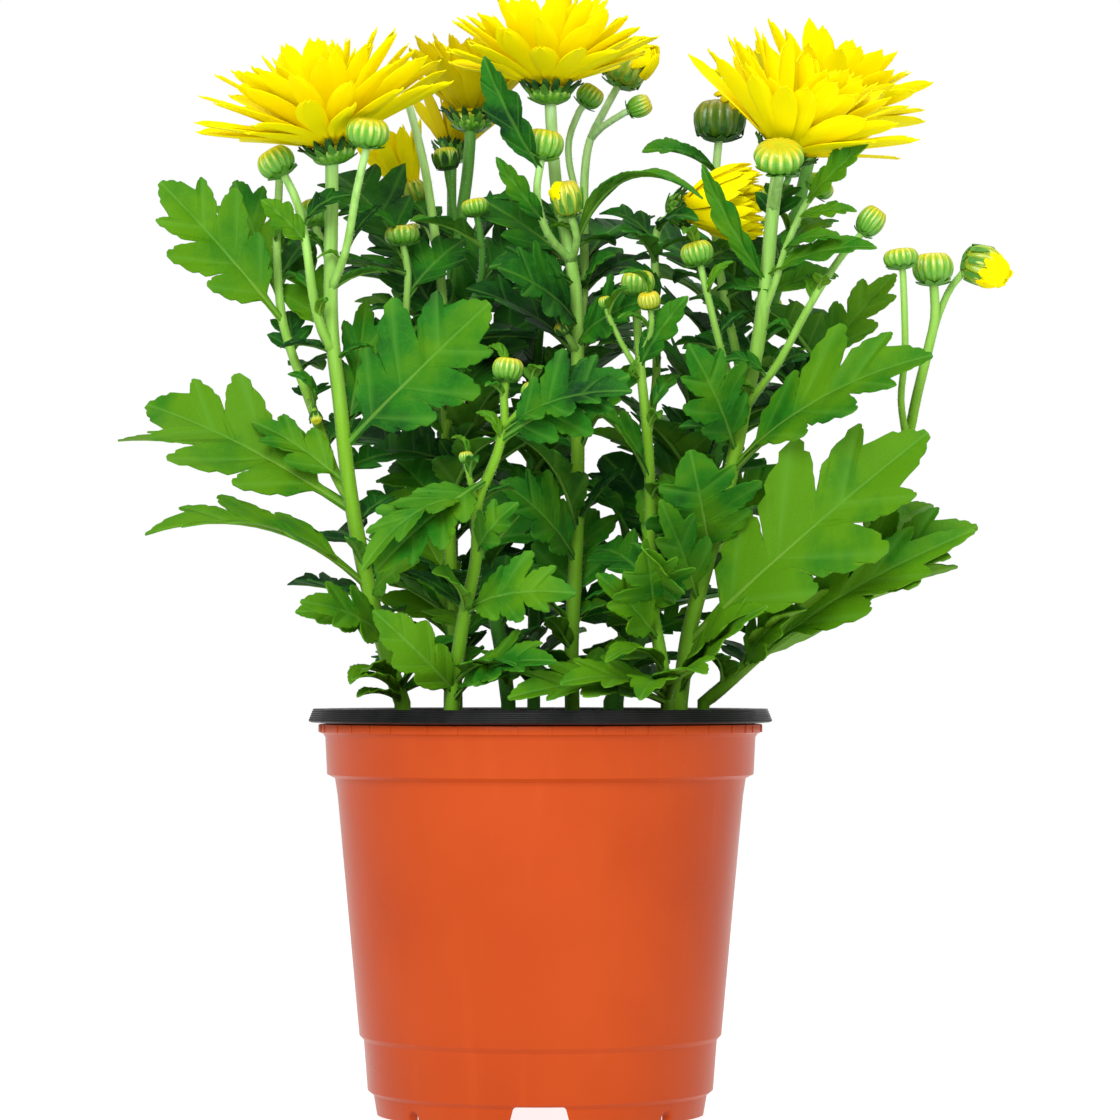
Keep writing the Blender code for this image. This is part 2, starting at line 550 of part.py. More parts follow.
def add_small_notch(angle, cutters):
    """A short bar across the foot ring that leaves a small arched notch."""
    width, height = SMALL_NOTCH
    bm = bmesh.new()
    bmesh.ops.create_cone(bm, cap_ends=True, segments=8, radius1=width / 2, radius2=width / 2,
                          depth=NOTCH_DEPTH)
    lay_down = Matrix.Rotation(math.radians(90), 4, "Y") @ Matrix.Rotation(math.radians(22.5), 4, "Z")
    bm.transform(Matrix.Translation((NOTCH_MIDDLE, 0, height - width / 2)) @ lay_down)
    bmesh.ops.rotate(bm, verts=bm.verts, matrix=Matrix.Rotation(math.radians(angle), 3, "Z"))
    add_cutter(f"small_notch_{angle}", bm, cutters)


def add_cutter(name, bm, cutters):
    made = add_mesh(name, bm, cutters)
    made.hide_render = True
    made.display_type = "WIRE"


def make_pot_liner(parts):
    """The black inner pot: its lip lies on the orange rim, and its wall hangs just inside the orange one."""
    lip_bottom = ORANGE_RIM[1] + GAP / MM
    lip = [(RIM_RADIUS - 4, RIM_HEIGHT - 0.9), (RIM_RADIUS - 2.4, RIM_HEIGHT), (RIM_RADIUS - 1.2, RIM_HEIGHT),
           (RIM_RADIUS, RIM_HEIGHT - 3.2), (RIM_RADIUS - 1, RIM_HEIGHT - 3.8), (60.2, lip_bottom)]
    outer_wall = [(57.7, 95.8), (55.6, 94.4), (54.8, 88.8), (46.0, LINER_FLOOR), (0, LINER_FLOOR)]
    floor_top = LINER_FLOOR + LINER_WALL
    inner_wall = [(0, floor_top), (45.2, floor_top), (53.8, 89.4), (54.7, 95.1), (56.8, 96.5)]
    profile = [(radius * MM, height * MM) for radius, height in inner_wall + lip + outer_wall]
    return turned("pot_liner", profile, parts)


def make_soil(parts, holes):
    """Peat that fills the liner, mounded a little, with a plain hole for each stem."""
    floor = LINER_FLOOR + LINER_WALL + GAP / MM
    top = [(0, SOIL_MOUND_HEIGHT), (28, SOIL_MOUND_HEIGHT - 0.6), (48, SOIL_EDGE_HEIGHT + 0.8)]
    side = [(57.4, SOIL_EDGE_HEIGHT), (56.2, 97.2), (54.2, 95.8), (53.3, 89.4), (44.8, floor), (0, floor)]
    soil = turned("soil", [(radius * MM, height * MM) for radius, height in top + side], parts)
    for name, stem in STEMS.items():
        radius = stem["branches"]["main"][2] / 2 * MM + HOLE_SLACK
        x, y = stem["root"]
        bm = bmesh.new()
        bmesh.ops.create_cone(bm, cap_ends=True, segments=6, radius1=radius, radius2=radius,
                              depth=HOLE_TOP - HOLE_BOTTOM)
        bmesh.ops.translate(bm, verts=bm.verts, vec=(x * MM, y * MM, (HOLE_TOP + HOLE_BOTTOM) / 2))
        add_cutter(f"hole_{name}", bm, holes)
    cut(soil, holes)
    return soil


# Blooms and buds

def frame_of(axis):
    """A rotation that turns +Z to the axis."""
    return Vector((0, 0, 1)).rotation_difference(Vector(axis).normalized()).to_matrix()


def core_mesh(count, radius, height):
    """A dome of staggered triangles standing on z = 0, with the faces that each ring of petals grows from.

    Between one level and the next every second triangle has its edge above and its corner below, and those
    are the roots of one ring: two corners of the petal's upper face, and its keel.
    """
    bm = bmesh.new()
    levels = []
    for level, (share, rise) in enumerate(CORE_LEVELS):
        turn = math.pi / count * level
        levels.append([bm.verts.new((share * radius * math.cos(turn + math.tau * k / count),
                                     share * radius * math.sin(turn + math.tau * k / count), rise * height))
                       for k in range(count)])
    roots = []
    for level, (low, high) in enumerate(zip(levels, levels[1:])):
        ring = []
        for k in range(count):
            ring.append(bm.faces.new((low[(k + 1) % count], high[(k + 1) % count], high[k])))
            bm.faces.new((low[k], low[(k + 1) % count], high[k]))
        roots.append(ring)
    bm.faces.new(levels[0][::-1])
    peak = bm.verts.new((0, 0, height))
    for k in range(count):
        bm.faces.new((levels[3][k], levels[3][(k + 1) % count], peak))
    return bm, roots


def petal_sections(root, elevation, length, width, curl, stations):
    """Corner triples (left, right, keel) along a petal that leaves its root triangle at an elevation."""
    outward = Vector((root.x, root.y, 0)).normalized()
    aside = Vector((-outward.y, outward.x, 0))
    point = root.copy()
    done = 0
    sections = []
    for share, wide in stations:
        angle = math.radians(elevation + curl * (share + done) / 2)
        onward = outward * math.cos(angle) + Vector((0, 0, math.sin(angle)))
        under = outward * math.sin(angle) - Vector((0, 0, math.cos(angle)))
        point = point + onward * length * (share - done)
        done = share
        half = aside * width / 2 * wide
        keel = under * KEEL * min(1, wide + 0.2)
        sections.append((point + half, point - half, point + keel))
    return sections, point + onward * length * TIP_SHARE


OUTER_PETAL_STATIONS = ((0.30, 0.70), (0.70, 1.0), (0.94, 0.56))
INNER_PETAL_STATIONS = ((0.42, 0.86), (0.86, 0.72))


def grow_petal(bm, face, sections, tip):
    """Extrudes a petal out of a triangle of the core, section by section, to its tip."""
    keel = min(face.verts, key=lambda vert: vert.co.z)
    upper = [vert for vert in face.verts if vert is not keel]
    middle = (upper[0].co + upper[1].co) / 2
    aside = Vector((-middle.y, middle.x, 0))
    left, right = sorted(upper, key=lambda vert: -(vert.co - middle).dot(aside))
    bm.faces.remove(face)
    ring = (left, right, keel)
    for section in sections:
        fresh = [bm.verts.new(corner) for corner in section]
        for k in range(3):
            bm.faces.new((ring[k], ring[(k + 1) % 3], fresh[(k + 1) % 3], fresh[k]))
        ring = fresh
    end = bm.verts.new(tip)
    for k in range(3):
        bm.faces.new((ring[k], ring[(k + 1) % 3], end))


def make_bloom(name, base, axis, count, radius, height, rings, chance, parts):
    """A bloom with its petals in rings, standing on its involucre."""
    bm, roots = core_mesh(count, radius * MM, height * MM)
    for ring, (elevation, length, width, every, curl) in enumerate(rings):
        for k, face in list(enumerate(roots[ring]))[::every]:
            root = face.calc_center_median()
            stations = OUTER_PETAL_STATIONS if ring == 0 and length > LONG_PETAL else INNER_PETAL_STATIONS
            rise = elevation + chance.uniform(-2.5, 2.5)
            reach = length * MM * chance.uniform(0.93, 1.05)
            sections, tip = petal_sections(root, rise, reach, width * MM, curl, stations)
            grow_petal(bm, face, sections, tip)
    bmesh.ops.triangulate(bm, faces=bm.faces)
    turn = frame_of(axis).to_4x4()
    bm.transform(Matrix.Translation(base + Vector(axis).normalized() * GAP) @ turn)
    return add_mesh(name, bm, parts)


def make_bud(name, centre, axis, width, height, collection):
    """A closed bud: a flattened ball with a ridge along each bract."""
    sides = 10 if width > 7 else 8
    bm = bmesh.new()
    rings = []
    for rise, share in BUD_RINGS:
        ring = []
        for k in range(sides):
            reach = share * width / 2 * (1 if k % 2 else 0.9)
            turn = math.tau * k / sides
            corner = Vector((reach * math.cos(turn), reach * math.sin(turn), rise * height / 2))
            ring.append(bm.verts.new(corner * MM))
        rings.append(ring)
    for upper, lower in zip(rings, rings[1:]):
        for k in range(sides):
            bm.faces.new((upper[k], lower[k], lower[(k + 1) % sides], upper[(k + 1) % sides]))
    for ring, rise in ((rings[0], 0.86), (rings[-1], -1)):
        pole = bm.verts.new((0, 0, rise * height / 2 * MM))
        for k in range(sides):
            bm.faces.new((ring[k], ring[(k + 1) % sides], pole))
    bmesh.ops.triangulate(bm, faces=bm.faces)
    bm.transform(Matrix.Translation(centre) @ frame_of(axis).to_4x4())
    return add_mesh(name, bm, collection)


def make_involucre(name, top, axis, radius, height, collection):
    """The green cup under a bloom: a short cone with a flat top."""
    bm = bmesh.new()
    bmesh.ops.create_cone(bm, cap_ends=True, segments=8, radius1=radius * 0.35 * MM, radius2=radius * MM,
                          depth=height * MM)
    bmesh.ops.translate(bm, verts=bm.verts, vec=(0, 0, -height / 2 * MM))
    bm.transform(Matrix.Translation(top) @ frame_of(axis).to_4x4())
    return add_mesh(name, bm, collection)


# Leaves

def leaf_plan(outline):
    """The flat leaf as (points, triangles), each point a share of the length and of the half-width."""
    side = OUTLINES[outline]
    rim = [*side, (1, 0), *[(along, -out) for along, out in reversed(side)]]
    ribs = [(along, 0) for along in RIBS[outline]]
    edges = [(k, (k + 1) % len(rim)) for k in range(len(rim))]
    points, _, faces, *_ = delaunay_2d_cdt([Vector(point) for point in rim + ribs], edges, [], 1, 1e-6)
    return [tuple(point) for point in points], [tuple(face) for face in faces]


def leaf_bmesh(plan, base, tip, half_width, facing, arch, thickness):
    """The leaf bent along an arched rib from base to tip, folded a little at the rib, as a closed blade."""
    points, faces = plan
    along = (tip - base).normalized()
    normal = (Vector(facing) - along * Vector(facing).dot(along)).normalized()
    aside = along.cross(normal)
    crown = (base + tip) / 2 + normal * 2 * arch
    bm = bmesh.new()
    verts = []
    for share, out in points:
        rib = base * (1 - share) ** 2 + crown * 2 * share * (1 - share) + tip * share ** 2
        lift = (FOLD + WAVE * math.sin(share * 9 + (2 if out > 0 else 0))) * abs(out)
        verts.append(bm.verts.new(rib + (aside * out + normal * lift) * half_width))
    for face in faces:
        bm.faces.new([verts[k] for k in face])
    bm.normal_update()
    for vert in bm.verts:
        vert.co += vert.normal * thickness / 2
    bmesh.ops.solidify(bm, geom=bm.faces[:], thickness=thickness)
    return bm


def leaf_choices(base, tip):
    """Tips to try, from the drawn one outwards: turned about the upright, and lifted."""
    reach = tip - base
    for lift in LIFTS:
        for turn in TURNS:
            level = math.hypot(reach.x, reach.y)
            slope = math.atan2(reach.z, level) + math.radians(lift)
            heading = math.atan2(reach.y, reach.x) + math.radians(turn)
            flat = reach.length * math.cos(slope)
            height = reach.length * math.sin(slope)
            yield base + Vector((flat * math.cos(heading), flat * math.sin(heading), height))


def settle_leaf(name, plan, base, tip, row, others, own, collection):
    """The leaf at the first choice that clears every other solid and, if it can, its own stem's leaves."""
    half_width, facing, arch = row
    found = None
    for choice in leaf_choices(base, tip):
        fat = leaf_bmesh(plan, base, choice, half_width, facing, arch, BLADE + 2 * GAP)
        tree = BVHTree.FromBMesh(fat)
        fat.free()
        if any(tree.overlap(other) for other in others):
            continue
        found = found or choice
        if not any(tree.overlap(other) for other in own):
            found = choice
            break
    if not found:
        return None
    return add_mesh(name, leaf_bmesh(plan, base, found, half_width, facing, arch, BLADE), collection)


def ruled_leaves(name, path):
    """Leaves by rule for a stem, as (base, tip, half-width, way it faces, outline, arch)."""
    first, count, spacing, heading, reach, half_width, slope = RULED_LEAVES[name]
    at_back = name.startswith("stem_back_") and name != "stem_back_bloom"
    leaves = []
    for k in range(count):
        turn = heading + GOLDEN_ANGLE * k
        away = Vector((math.cos(turn), abs(math.sin(turn)) + 0.3 if at_back else math.sin(turn), slope))
        base = at_row(path, first - k * spacing)
        tip = base + away.normalized() * reach * (1 - 0.07 * k) * MM
        facing = (0, 0.15 if at_back else -0.3, 1)
        outline = "big" if at_back and k == 0 else "mid"
        leaves.append((base, tip, half_width * (1 - 0.08 * k), facing, outline, RULED_ARCH))
    return leaves


# The plant

def stem_paths(stem):
    """The centreline of each branch of a stem."""
    x, y = stem["root"]
    foot = Vector((x * MM, y * MM, STEM_BOTTOM))
    collar = Vector((x * MM, y * MM, STEM_CLEAR_OF_SOIL))
    paths = {}
    for name, (parent, row, start, end, points) in stem["branches"].items():
        if parent is None:
            paths[name] = [foot, *smooth_path([collar] + [seen(*point) for point in points])]
        else:
            paths[name] = smooth_path([at_row(paths[parent], row)] + [seen(*point) for point in points])
    return paths


def make_branches(name, stem, paths, pieces):
    """Tubes, buds and involucres of a stem."""
    for branch, (parent, row, start, end, points) in stem["branches"].items():
        path = paths[branch]
        axis = path[-1] - path[-2]
        finish = stem["ends"][branch]
        if len(finish) == 3:
            radius, height, facing = finish
            make_involucre(f"{name}_{branch}_involucre", path[-1], facing, radius, height, pieces)
            path = path[:-1] + [path[-1] - Vector(facing).normalized() * height * 0.6 * MM]
        else:
            make_bud(f"{name}_{branch}_bud", path[-1], axis, *finish, pieces)
        sides = 6 if parent is None else 4
        tube(f"{name}_{branch}", path, start / 2 * MM, end / 2 * MM, pieces, sides)


def join_stem(name, pieces, parts, leaf_green):
    """One solid from all the pieces of a leafy stem."""
    main = pieces.objects[f"{name}_main"]
    pieces.objects.unlink(main)
    parts.objects.link(main)
    union = main.modifiers.new("Union", "BOOLEAN")
    union.operation = "UNION"
    union.operand_type = "COLLECTION"
    union.collection = pieces
    union.solver = "MANIFOLD"
    graph = bpy.context.evaluated_depsgraph_get()
    joined = bpy.data.meshes.new_from_object(main.evaluated_get(graph))
    for old in [main, *pieces.objects]:
        bpy.data.objects.remove(old, do_unlink=True)
    bpy.data.collections.remove(pieces)
    bm = bmesh.new()
    bm.from_mesh(joined)
    bpy.data.meshes.remove(joined)
    bmesh.ops.dissolve_limit(bm, angle_limit=math.radians(0.4), verts=bm.verts, edges=bm.edges)
    bmesh.ops.triangulate(bm, faces=bm.faces)
    made = add_mesh(name, bm, parts)
    made.data.materials.append(leaf_green)
    return made


def make_plant(parts, petal_yellow, leaf_green):
    """All leafy stems and blooms. Leaves are settled last, around everything that stands fixed."""
    chance = random.Random(SEED)
    paths = {}
    pieces = {}
    for name, stem in STEMS.items():
        paths[name] = stem_paths(stem)
        pieces[name] = new_collection(f"pieces_{name}")
        make_branches(name, stem, paths[name], pieces[name])
    for name, (stem, branch, count, radius, height, rings) in BLOOMS.items():
        axis = STEMS[stem]["ends"][branch][2]
        bloom = make_bloom(name, paths[stem][branch][-1], axis, count, radius, height, rings, chance, parts)
        bloom.data.materials.append(petal_yellow)
    settle_leaves(paths, pieces, parts)
    for name in STEMS:
        join_stem(name, pieces[name], parts, leaf_green)


def settle_leaves(paths, pieces, parts):
    """Adds every leaf to its stem's pieces."""
    fixed = {name: [tree_of(made) for made in pieces[name].objects] for name in STEMS}
    blooms = [tree_of(parts.objects[name]) for name in BLOOMS]
    graph = bpy.context.evaluated_depsgraph_get()
    pot = [BVHTree.FromObject(parts.objects[name], graph) for name in ("pot_outer", "pot_liner", "soil")]
    placed = {name: [] for name in STEMS}
    plans = {outline: leaf_plan(outline) for outline in OUTLINES}
    for name, stem in STEMS.items():
        jobs = []
        for branch, row, tip, half_width, facing, outline, arch in stem["leaves"]:
            base = at_row(paths[name][branch], row)
            jobs.append((base, seen(*tip), half_width, facing, outline, arch))
        if name in RULED_LEAVES:
            jobs += ruled_leaves(name, paths[name]["main"])
        others = blooms + pot + [tree for key in STEMS if key != name for tree in fixed[key]]
        for k, (base, tip, half_width, facing, outline, arch) in enumerate(jobs):
            there = others + [tree for key in STEMS if key != name for tree in placed[key]]
            leaf = settle_leaf(f"{name}_leaf_{k}", plans[outline], base, tip,
                               (half_width * MM, facing, arch * MM), there, placed[name], pieces[name])
            if leaf:
                placed[name].append(tree_of(leaf))


def centre_on_box(parts, cutters, holes):
    """Moves everything so that the origin is the middle of the box's bottom."""
    bpy.context.view_layer.update()
    graph = bpy.context.evaluated_depsgraph_get()
    corners = []
    for made in parts.objects:
        mesh = made.evaluated_get(graph).to_mesh()
        corners += [made.matrix_world @ vert.co for vert in mesh.vertices]
        made.evaluated_get(graph).to_mesh_clear()
    middle = [(min(c[k] for c in corners) + max(c[k] for c in corners)) / 2 for k in (0, 1)]
    for made in [*parts.objects, *cutters.objects, *holes.objects]:
        made.location -= Vector((*middle, 0))


def main():
    clear_scene()
    parts = new_collection("pot_chrysanthemum")
    cutters = new_collection("cutters")
    holes = new_collection("holes")
    orange = material("orange_plastic", ORANGE, 0.4)
    black = material("black_plastic", BLACK, 0.35)
    peat = material("peat", PEAT, 0.95)
    leaf_green = material("leaf_green", GREEN, 0.6)
    petal_yellow = material("petal_yellow", YELLOW, 0.55)
    for made, look in ((make_pot_outer(parts, cutters), orange), (make_pot_liner(parts), black),
                       (make_soil(parts, holes), peat)):
        made.data.materials.append(look)
    make_plant(parts, petal_yellow, leaf_green)
    centre_on_box(parts, cutters, holes)


main()
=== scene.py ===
import itertools
import json
import math
import random

import bpy
import numpy as np
from mathutils import Matrix, Vector, noise
from mathutils.bvhtree import BVHTree

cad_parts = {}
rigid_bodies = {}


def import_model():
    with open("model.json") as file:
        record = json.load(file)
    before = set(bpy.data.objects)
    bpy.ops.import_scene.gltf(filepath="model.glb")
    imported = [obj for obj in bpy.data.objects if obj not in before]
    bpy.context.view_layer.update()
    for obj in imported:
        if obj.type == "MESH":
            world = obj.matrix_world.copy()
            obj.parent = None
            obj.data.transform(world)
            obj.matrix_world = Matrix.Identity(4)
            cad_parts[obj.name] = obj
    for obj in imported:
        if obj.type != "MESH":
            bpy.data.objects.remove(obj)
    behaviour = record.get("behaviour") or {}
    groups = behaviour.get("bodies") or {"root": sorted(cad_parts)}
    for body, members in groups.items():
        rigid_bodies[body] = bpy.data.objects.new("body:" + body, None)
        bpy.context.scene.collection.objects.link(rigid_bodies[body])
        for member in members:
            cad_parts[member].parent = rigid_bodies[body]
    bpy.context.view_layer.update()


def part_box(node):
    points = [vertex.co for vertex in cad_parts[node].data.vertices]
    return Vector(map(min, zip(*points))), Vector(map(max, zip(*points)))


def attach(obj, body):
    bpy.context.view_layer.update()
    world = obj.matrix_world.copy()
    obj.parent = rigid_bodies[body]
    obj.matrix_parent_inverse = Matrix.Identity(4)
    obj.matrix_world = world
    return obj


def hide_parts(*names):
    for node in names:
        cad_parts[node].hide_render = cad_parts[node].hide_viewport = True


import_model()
bpy.ops.object.select_all(action="DESELECT")


# The eye and the camera. The picture was taken from the front, a little above the pot's rim, with a long
# lens. Points on the plant are written below as (column, row, depth): the column and row of the picture in
# pixels, and the depth behind the pot's axis in millimetres. seen() turns them into metres.

MM = 0.001
EYE_SIDE = 5.5
EYE_DISTANCE = 1185.0
EYE_HEIGHT = 121.2
EYE_PITCH = math.radians(1.617)
FOCAL_PIXELS = 4217.0
PICTURE_PIXELS = 1120
MIDDLE_PIXEL = PICTURE_PIXELS / 2
SENSOR = 36.0

pot_low, pot_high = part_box("pot_outer")
AXIS = Vector(((pot_low.x + pot_high.x) / 2, (pot_low.y + pot_high.y) / 2, 0))


def seen(column, row, depth):
    above = math.atan((MIDDLE_PIXEL - row) / FOCAL_PIXELS) + EYE_PITCH
    distance = EYE_DISTANCE + depth
    height = EYE_HEIGHT + distance * math.tan(above)
    along = distance * math.cos(EYE_PITCH) + (height - EYE_HEIGHT) * math.sin(EYE_PITCH)
    side = EYE_SIDE + (column - MIDDLE_PIXEL) * along / FOCAL_PIXELS
    return AXIS + Vector((side, depth, height)) * MM


def row_of(point):
    rise = math.atan2(point.z / MM - EYE_HEIGHT, EYE_DISTANCE + (point.y - AXIS.y) / MM)
    return MIDDLE_PIXEL - FOCAL_PIXELS * math.tan(rise - EYE_PITCH)


bpy.ops.object.camera_add(location=AXIS + Vector((EYE_SIDE, -EYE_DISTANCE, EYE_HEIGHT)) * MM,
                          rotation=(math.pi / 2 + EYE_PITCH, 0, 0))
camera = bpy.context.object
camera.data.sensor_width = SENSOR
camera.data.lens = SENSOR * FOCAL_PIXELS / PICTURE_PIXELS
camera.data.clip_start = 0.05
camera.data.clip_end = 20
camera.data.dof.use_dof = False
bpy.context.scene.camera = camera


# The orange pot. An injection-moulded nursery pot in satin polypropylene: raised floor, foot ring with
# drainage notches, stepped lower body, tapered wall, a rim band and a thin ribbed ring under the lip. Its
# satin surface catches the light at its edges, so they look pale.

POT_SEGMENTS = 144
ORANGE_OUTLINE = [(43.2, 0.0), (46.1, 0.0), (46.9, 5.4), (48.35, 6.6), (49.45, 20.5), (50.7, 21.9),
                  (53.0, 47.0), (56.8, 88.4), (57.6, 93.5), (59.8, 94.6), (60.3, 104.9), (60.9, 105.9),
                  (62.05, 106.4), (62.05, 108.6), (60.6, 108.6), (58.35, 95.3), (56.2, 93.9), (55.4, 88.6),
                  (46.6, 8.0), (4.0, 8.0)]
FLOOR_UNDERSIDE = 6.5
FOOT_RADIUS = 46
CUT_LENGTH = 12
FOOT_BEVEL = 0.35
# The wide notches: width at the top, width at the bottom and height. The small ones: width and height.
WIDE_NOTCH = (14.0, 17.0, 6.0)
SMALL_NOTCH = (4.0, 3.3)
NOTCH_ANGLES = (0, 90, 180, 270)
SMALL_NOTCH_ANGLES = (42, 138, 222, 318)
RING_RIBS = 42
RIB_PLACE = (61.2, 107.4)
RIB_DEPTH = 2.1
RIB_HEIGHT = 2.0
RIB_WIDTHS = (0.5, 0.7, 1.6)
# The size of a noise that isn't stretched any way.
EVEN = (1, 1, 1)


def noted(made, name, finish):
    """Names a piece and gives it its finish."""
    made.name = name
    made.data.name = name
    made.data.materials.clear()
    made.data.materials.append(finish)
    return made


def keep(piece, slot, *nodes):
    """Puts a finished piece on the body and hides the solids that it stands for. slot is not used."""
    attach(piece, "root")
    if nodes:
        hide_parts(*nodes)


def select_only(*objects):
    bpy.ops.object.select_all(action="DESELECT")
    for made in objects:
        made.select_set(True)
    bpy.context.view_layer.objects.active = objects[0]


def apply_all(made):
    select_only(made)
    for modifier in list(made.modifiers):
        bpy.ops.object.modifier_apply(modifier=modifier.name)


def raise_wall(outline, segments, close_end=True):
    """A ring of points drawn up through an outline of (radius, height), as on a lathe."""
    radius, height = outline[0]
    bpy.ops.object.select_all(action="DESELECT")
    bpy.ops.mesh.primitive_circle_add(vertices=segments, radius=radius * MM,
                                      location=(AXIS.x, AXIS.y, height * MM))
    made = bpy.context.object
    bpy.ops.object.mode_set(mode="EDIT")
    bpy.ops.mesh.select_all(action="SELECT")
    for wider, higher in outline[1:]:
        bpy.ops.mesh.extrude_edges_move(TRANSFORM_OT_translate={"value": (0, 0, (higher - height) * MM)})
        share = wider / radius
        bpy.ops.transform.resize(value=(share, share, 1), center_override=(AXIS.x, AXIS.y, higher * MM))
        radius, height = wider, higher
    if close_end:
        bpy.ops.mesh.edge_face_add()
        bpy.ops.mesh.poke()
    bpy.ops.object.mode_set(mode="OBJECT")
    return made


def face_out(made):
    select_only(made)
    bpy.ops.object.mode_set(mode="EDIT")
    bpy.ops.mesh.select_all(action="SELECT")
    bpy.ops.mesh.remove_doubles(threshold=0.000002)
    bpy.ops.mesh.normals_make_consistent(inside=False)
    bpy.ops.object.mode_set(mode="OBJECT")


def settle(made):
    """Moves an object's place into its mesh."""
    bpy.context.view_layer.update()
    made.data.transform(made.matrix_world)
    made.matrix_world = Matrix.Identity(4)


def soften(made, width, angle=30, segments=2):
    bevel = made.modifiers.new("Soft edges", "BEVEL")
    bevel.width = width * MM
    bevel.segments = segments
    bevel.limit_method = "ANGLE"
    bevel.angle_limit = math.radians(angle)


def cut_away(made, cutter):
    notch = made.modifiers.new("Notch", "BOOLEAN")
    notch.operation = "DIFFERENCE"
    notch.solver = "EXACT"
    notch.object = cutter
    apply_all(made)
    bpy.data.objects.remove(cutter, do_unlink=True)


def grey(level):
    return (level, level, level)


def new_finish(name, roughness, specular):
    """A new material, its node tree and its shader."""
    finish = bpy.data.materials.new(name)
    finish.use_nodes = True
    shader = finish.node_tree.nodes["Principled BSDF"]
    shader.inputs["Roughness"].default_value = roughness
    shader.inputs["Specular IOR Level"].default_value = specular
    return finish, finish.node_tree, shader


def add_node(tree, kind, join=(), **values):
    """A node with its settings and input values; join is (input, output socket) pairs."""
    made = tree.nodes.new(kind)
    for key, value in values.items():
        if hasattr(made, key):
            setattr(made, key, value)
        else:
            made.inputs[key.replace("_", " ")].default_value = value
    for name, source in join:
        tree.links.new(source, made.inputs[name])
    return made


def ramp_of(tree, source, stops, smooth="LINEAR"):
    ramp = add_node(tree, "ShaderNodeValToRGB", [("Fac", source)])
    ramp.color_ramp.interpolation = smooth
    while len(ramp.color_ramp.elements) < len(stops):
        ramp.color_ramp.elements.new(0.5)
    for element, (position, colour) in zip(ramp.color_ramp.elements, stops):
        element.position = position
        element.color = (*colour, 1)
    return ramp.outputs["Color"]


def mixed(tree, amount, first, second, blend="MIX"):
    """Colour mix. amount, first and second are sockets or plain values."""
    mix = tree.nodes.new("ShaderNodeMix")
    mix.data_type = "RGBA"
    mix.blend_type = blend
    for socket, value in ((mix.inputs[0], amount), (mix.inputs[6], first), (mix.inputs[7], second)):
        if hasattr(value, "is_output"):
            tree.links.new(value, socket)
        elif isinstance(value, tuple):
            socket.default_value = (*value, 1)
        else:
            socket.default_value = value
    return mix.outputs[2]


def bumped(tree, shader, height, strength, distance):
    bump = add_node(tree, "ShaderNodeBump", [("Height", height)], Strength=strength, Distance=distance * MM)
    tree.links.new(bump.outputs["Normal"], shader.inputs["Normal"])


def stretched_noise(tree, size, scale, detail=3):
    """Noise on the piece's own coordinates; size is how many cells fit in a metre along X, Y and Z."""
    place = tree.nodes.new("ShaderNodeTexCoord")
    stretch = add_node(tree, "ShaderNodeMapping", [("Vector", place.outputs["Object"])], Scale=size)
    return add_node(tree, "ShaderNodeTexNoise", [("Vector", stretch.outputs["Vector"])], Scale=scale,
                    Detail=detail).outputs["Fac"]


def mottled(name, roughness, specular, grain, stops):
    """A finish whose colour follows noise: the finish, its tree, its shader and the noise.

    grain is (cells in a metre along X, Y and Z, scale, detail).
    """
    finish, tree, shader = new_finish(name, roughness, specular)
    noisy = stretched_noise(tree, *grain)
    tree.links.new(ramp_of(tree, noisy, stops), shader.inputs["Base Color"])
    return finish, tree, shader, noisy


def moulded_orange():
    finish, tree, shader = new_finish("moulded_orange", 0.3, 0.12)
    cloudy = stretched_noise(tree, EVEN, 22)
    drawn = stretched_noise(tree, (160, 160, 14), 1)
    body = ramp_of(tree, cloudy, [(0.35, (0.455, 0.054, 0.006)), (0.65, (0.50, 0.064, 0.008))])
    streak = ramp_of(tree, drawn, [(0.56, grey(0)), (0.75, grey(0.25))])
    tree.links.new(mixed(tree, streak, body, (0.57, 0.086, 0.012)), shader.inputs["Base Color"])
    rough = ramp_of(tree, cloudy, [(0.3, grey(0.26)), (0.7, grey(0.36))])
    tree.links.new(rough, shader.inputs["Roughness"])
    bumped(tree, shader, stretched_noise(tree, EVEN, 900), 0.06, 0.2)
    return finish


pot = raise_wall(ORANGE_OUTLINE, POT_SEGMENTS)
underside = raise_wall([(43.2, 0.0), (43.6, FLOOR_UNDERSIDE), (4.0, FLOOR_UNDERSIDE)], POT_SEGMENTS)
select_only(pot, underside)
bpy.ops.object.join()
face_out(pot)
for angle in NOTCH_ANGLES:
    top, bottom, height = WIDE_NOTCH
    bpy.ops.mesh.primitive_cube_add(size=1)
    cutter = bpy.context.object
    for vert in cutter.data.vertices:
        wide, level = (top, height) if vert.co.z > 0 else (bottom + (bottom - top) / 3, -2)
        vert.co = Vector((vert.co.x * CUT_LENGTH + FOOT_RADIUS, vert.co.y * wide, level)) * MM
    soften(cutter, 0.8, 60, 3)
    apply_all(cutter)
    cutter.data.transform(Matrix.Translation(AXIS) @ Matrix.Rotation(math.radians(angle), 4, "Z"))
    cut_away(pot, cutter)
for angle in SMALL_NOTCH_ANGLES:
    wide, height = SMALL_NOTCH
    level = (height - wide / 2) * MM
    bpy.ops.mesh.primitive_cylinder_add(vertices=24, radius=wide / 2 * MM, depth=CUT_LENGTH * MM)
    cutter = bpy.context.object
    cutter.data.transform(Matrix.Translation((FOOT_RADIUS * MM, 0, level))
                          @ Matrix.Rotation(math.pi / 2, 4, "Y"))
    for vert in cutter.data.vertices:
        if vert.co.z < level:
            vert.co.z -= 3 * MM
    cutter.data.transform(Matrix.Translation(AXIS) @ Matrix.Rotation(math.radians(angle), 4, "Z"))
    cut_away(pot, cutter)
ribs = []
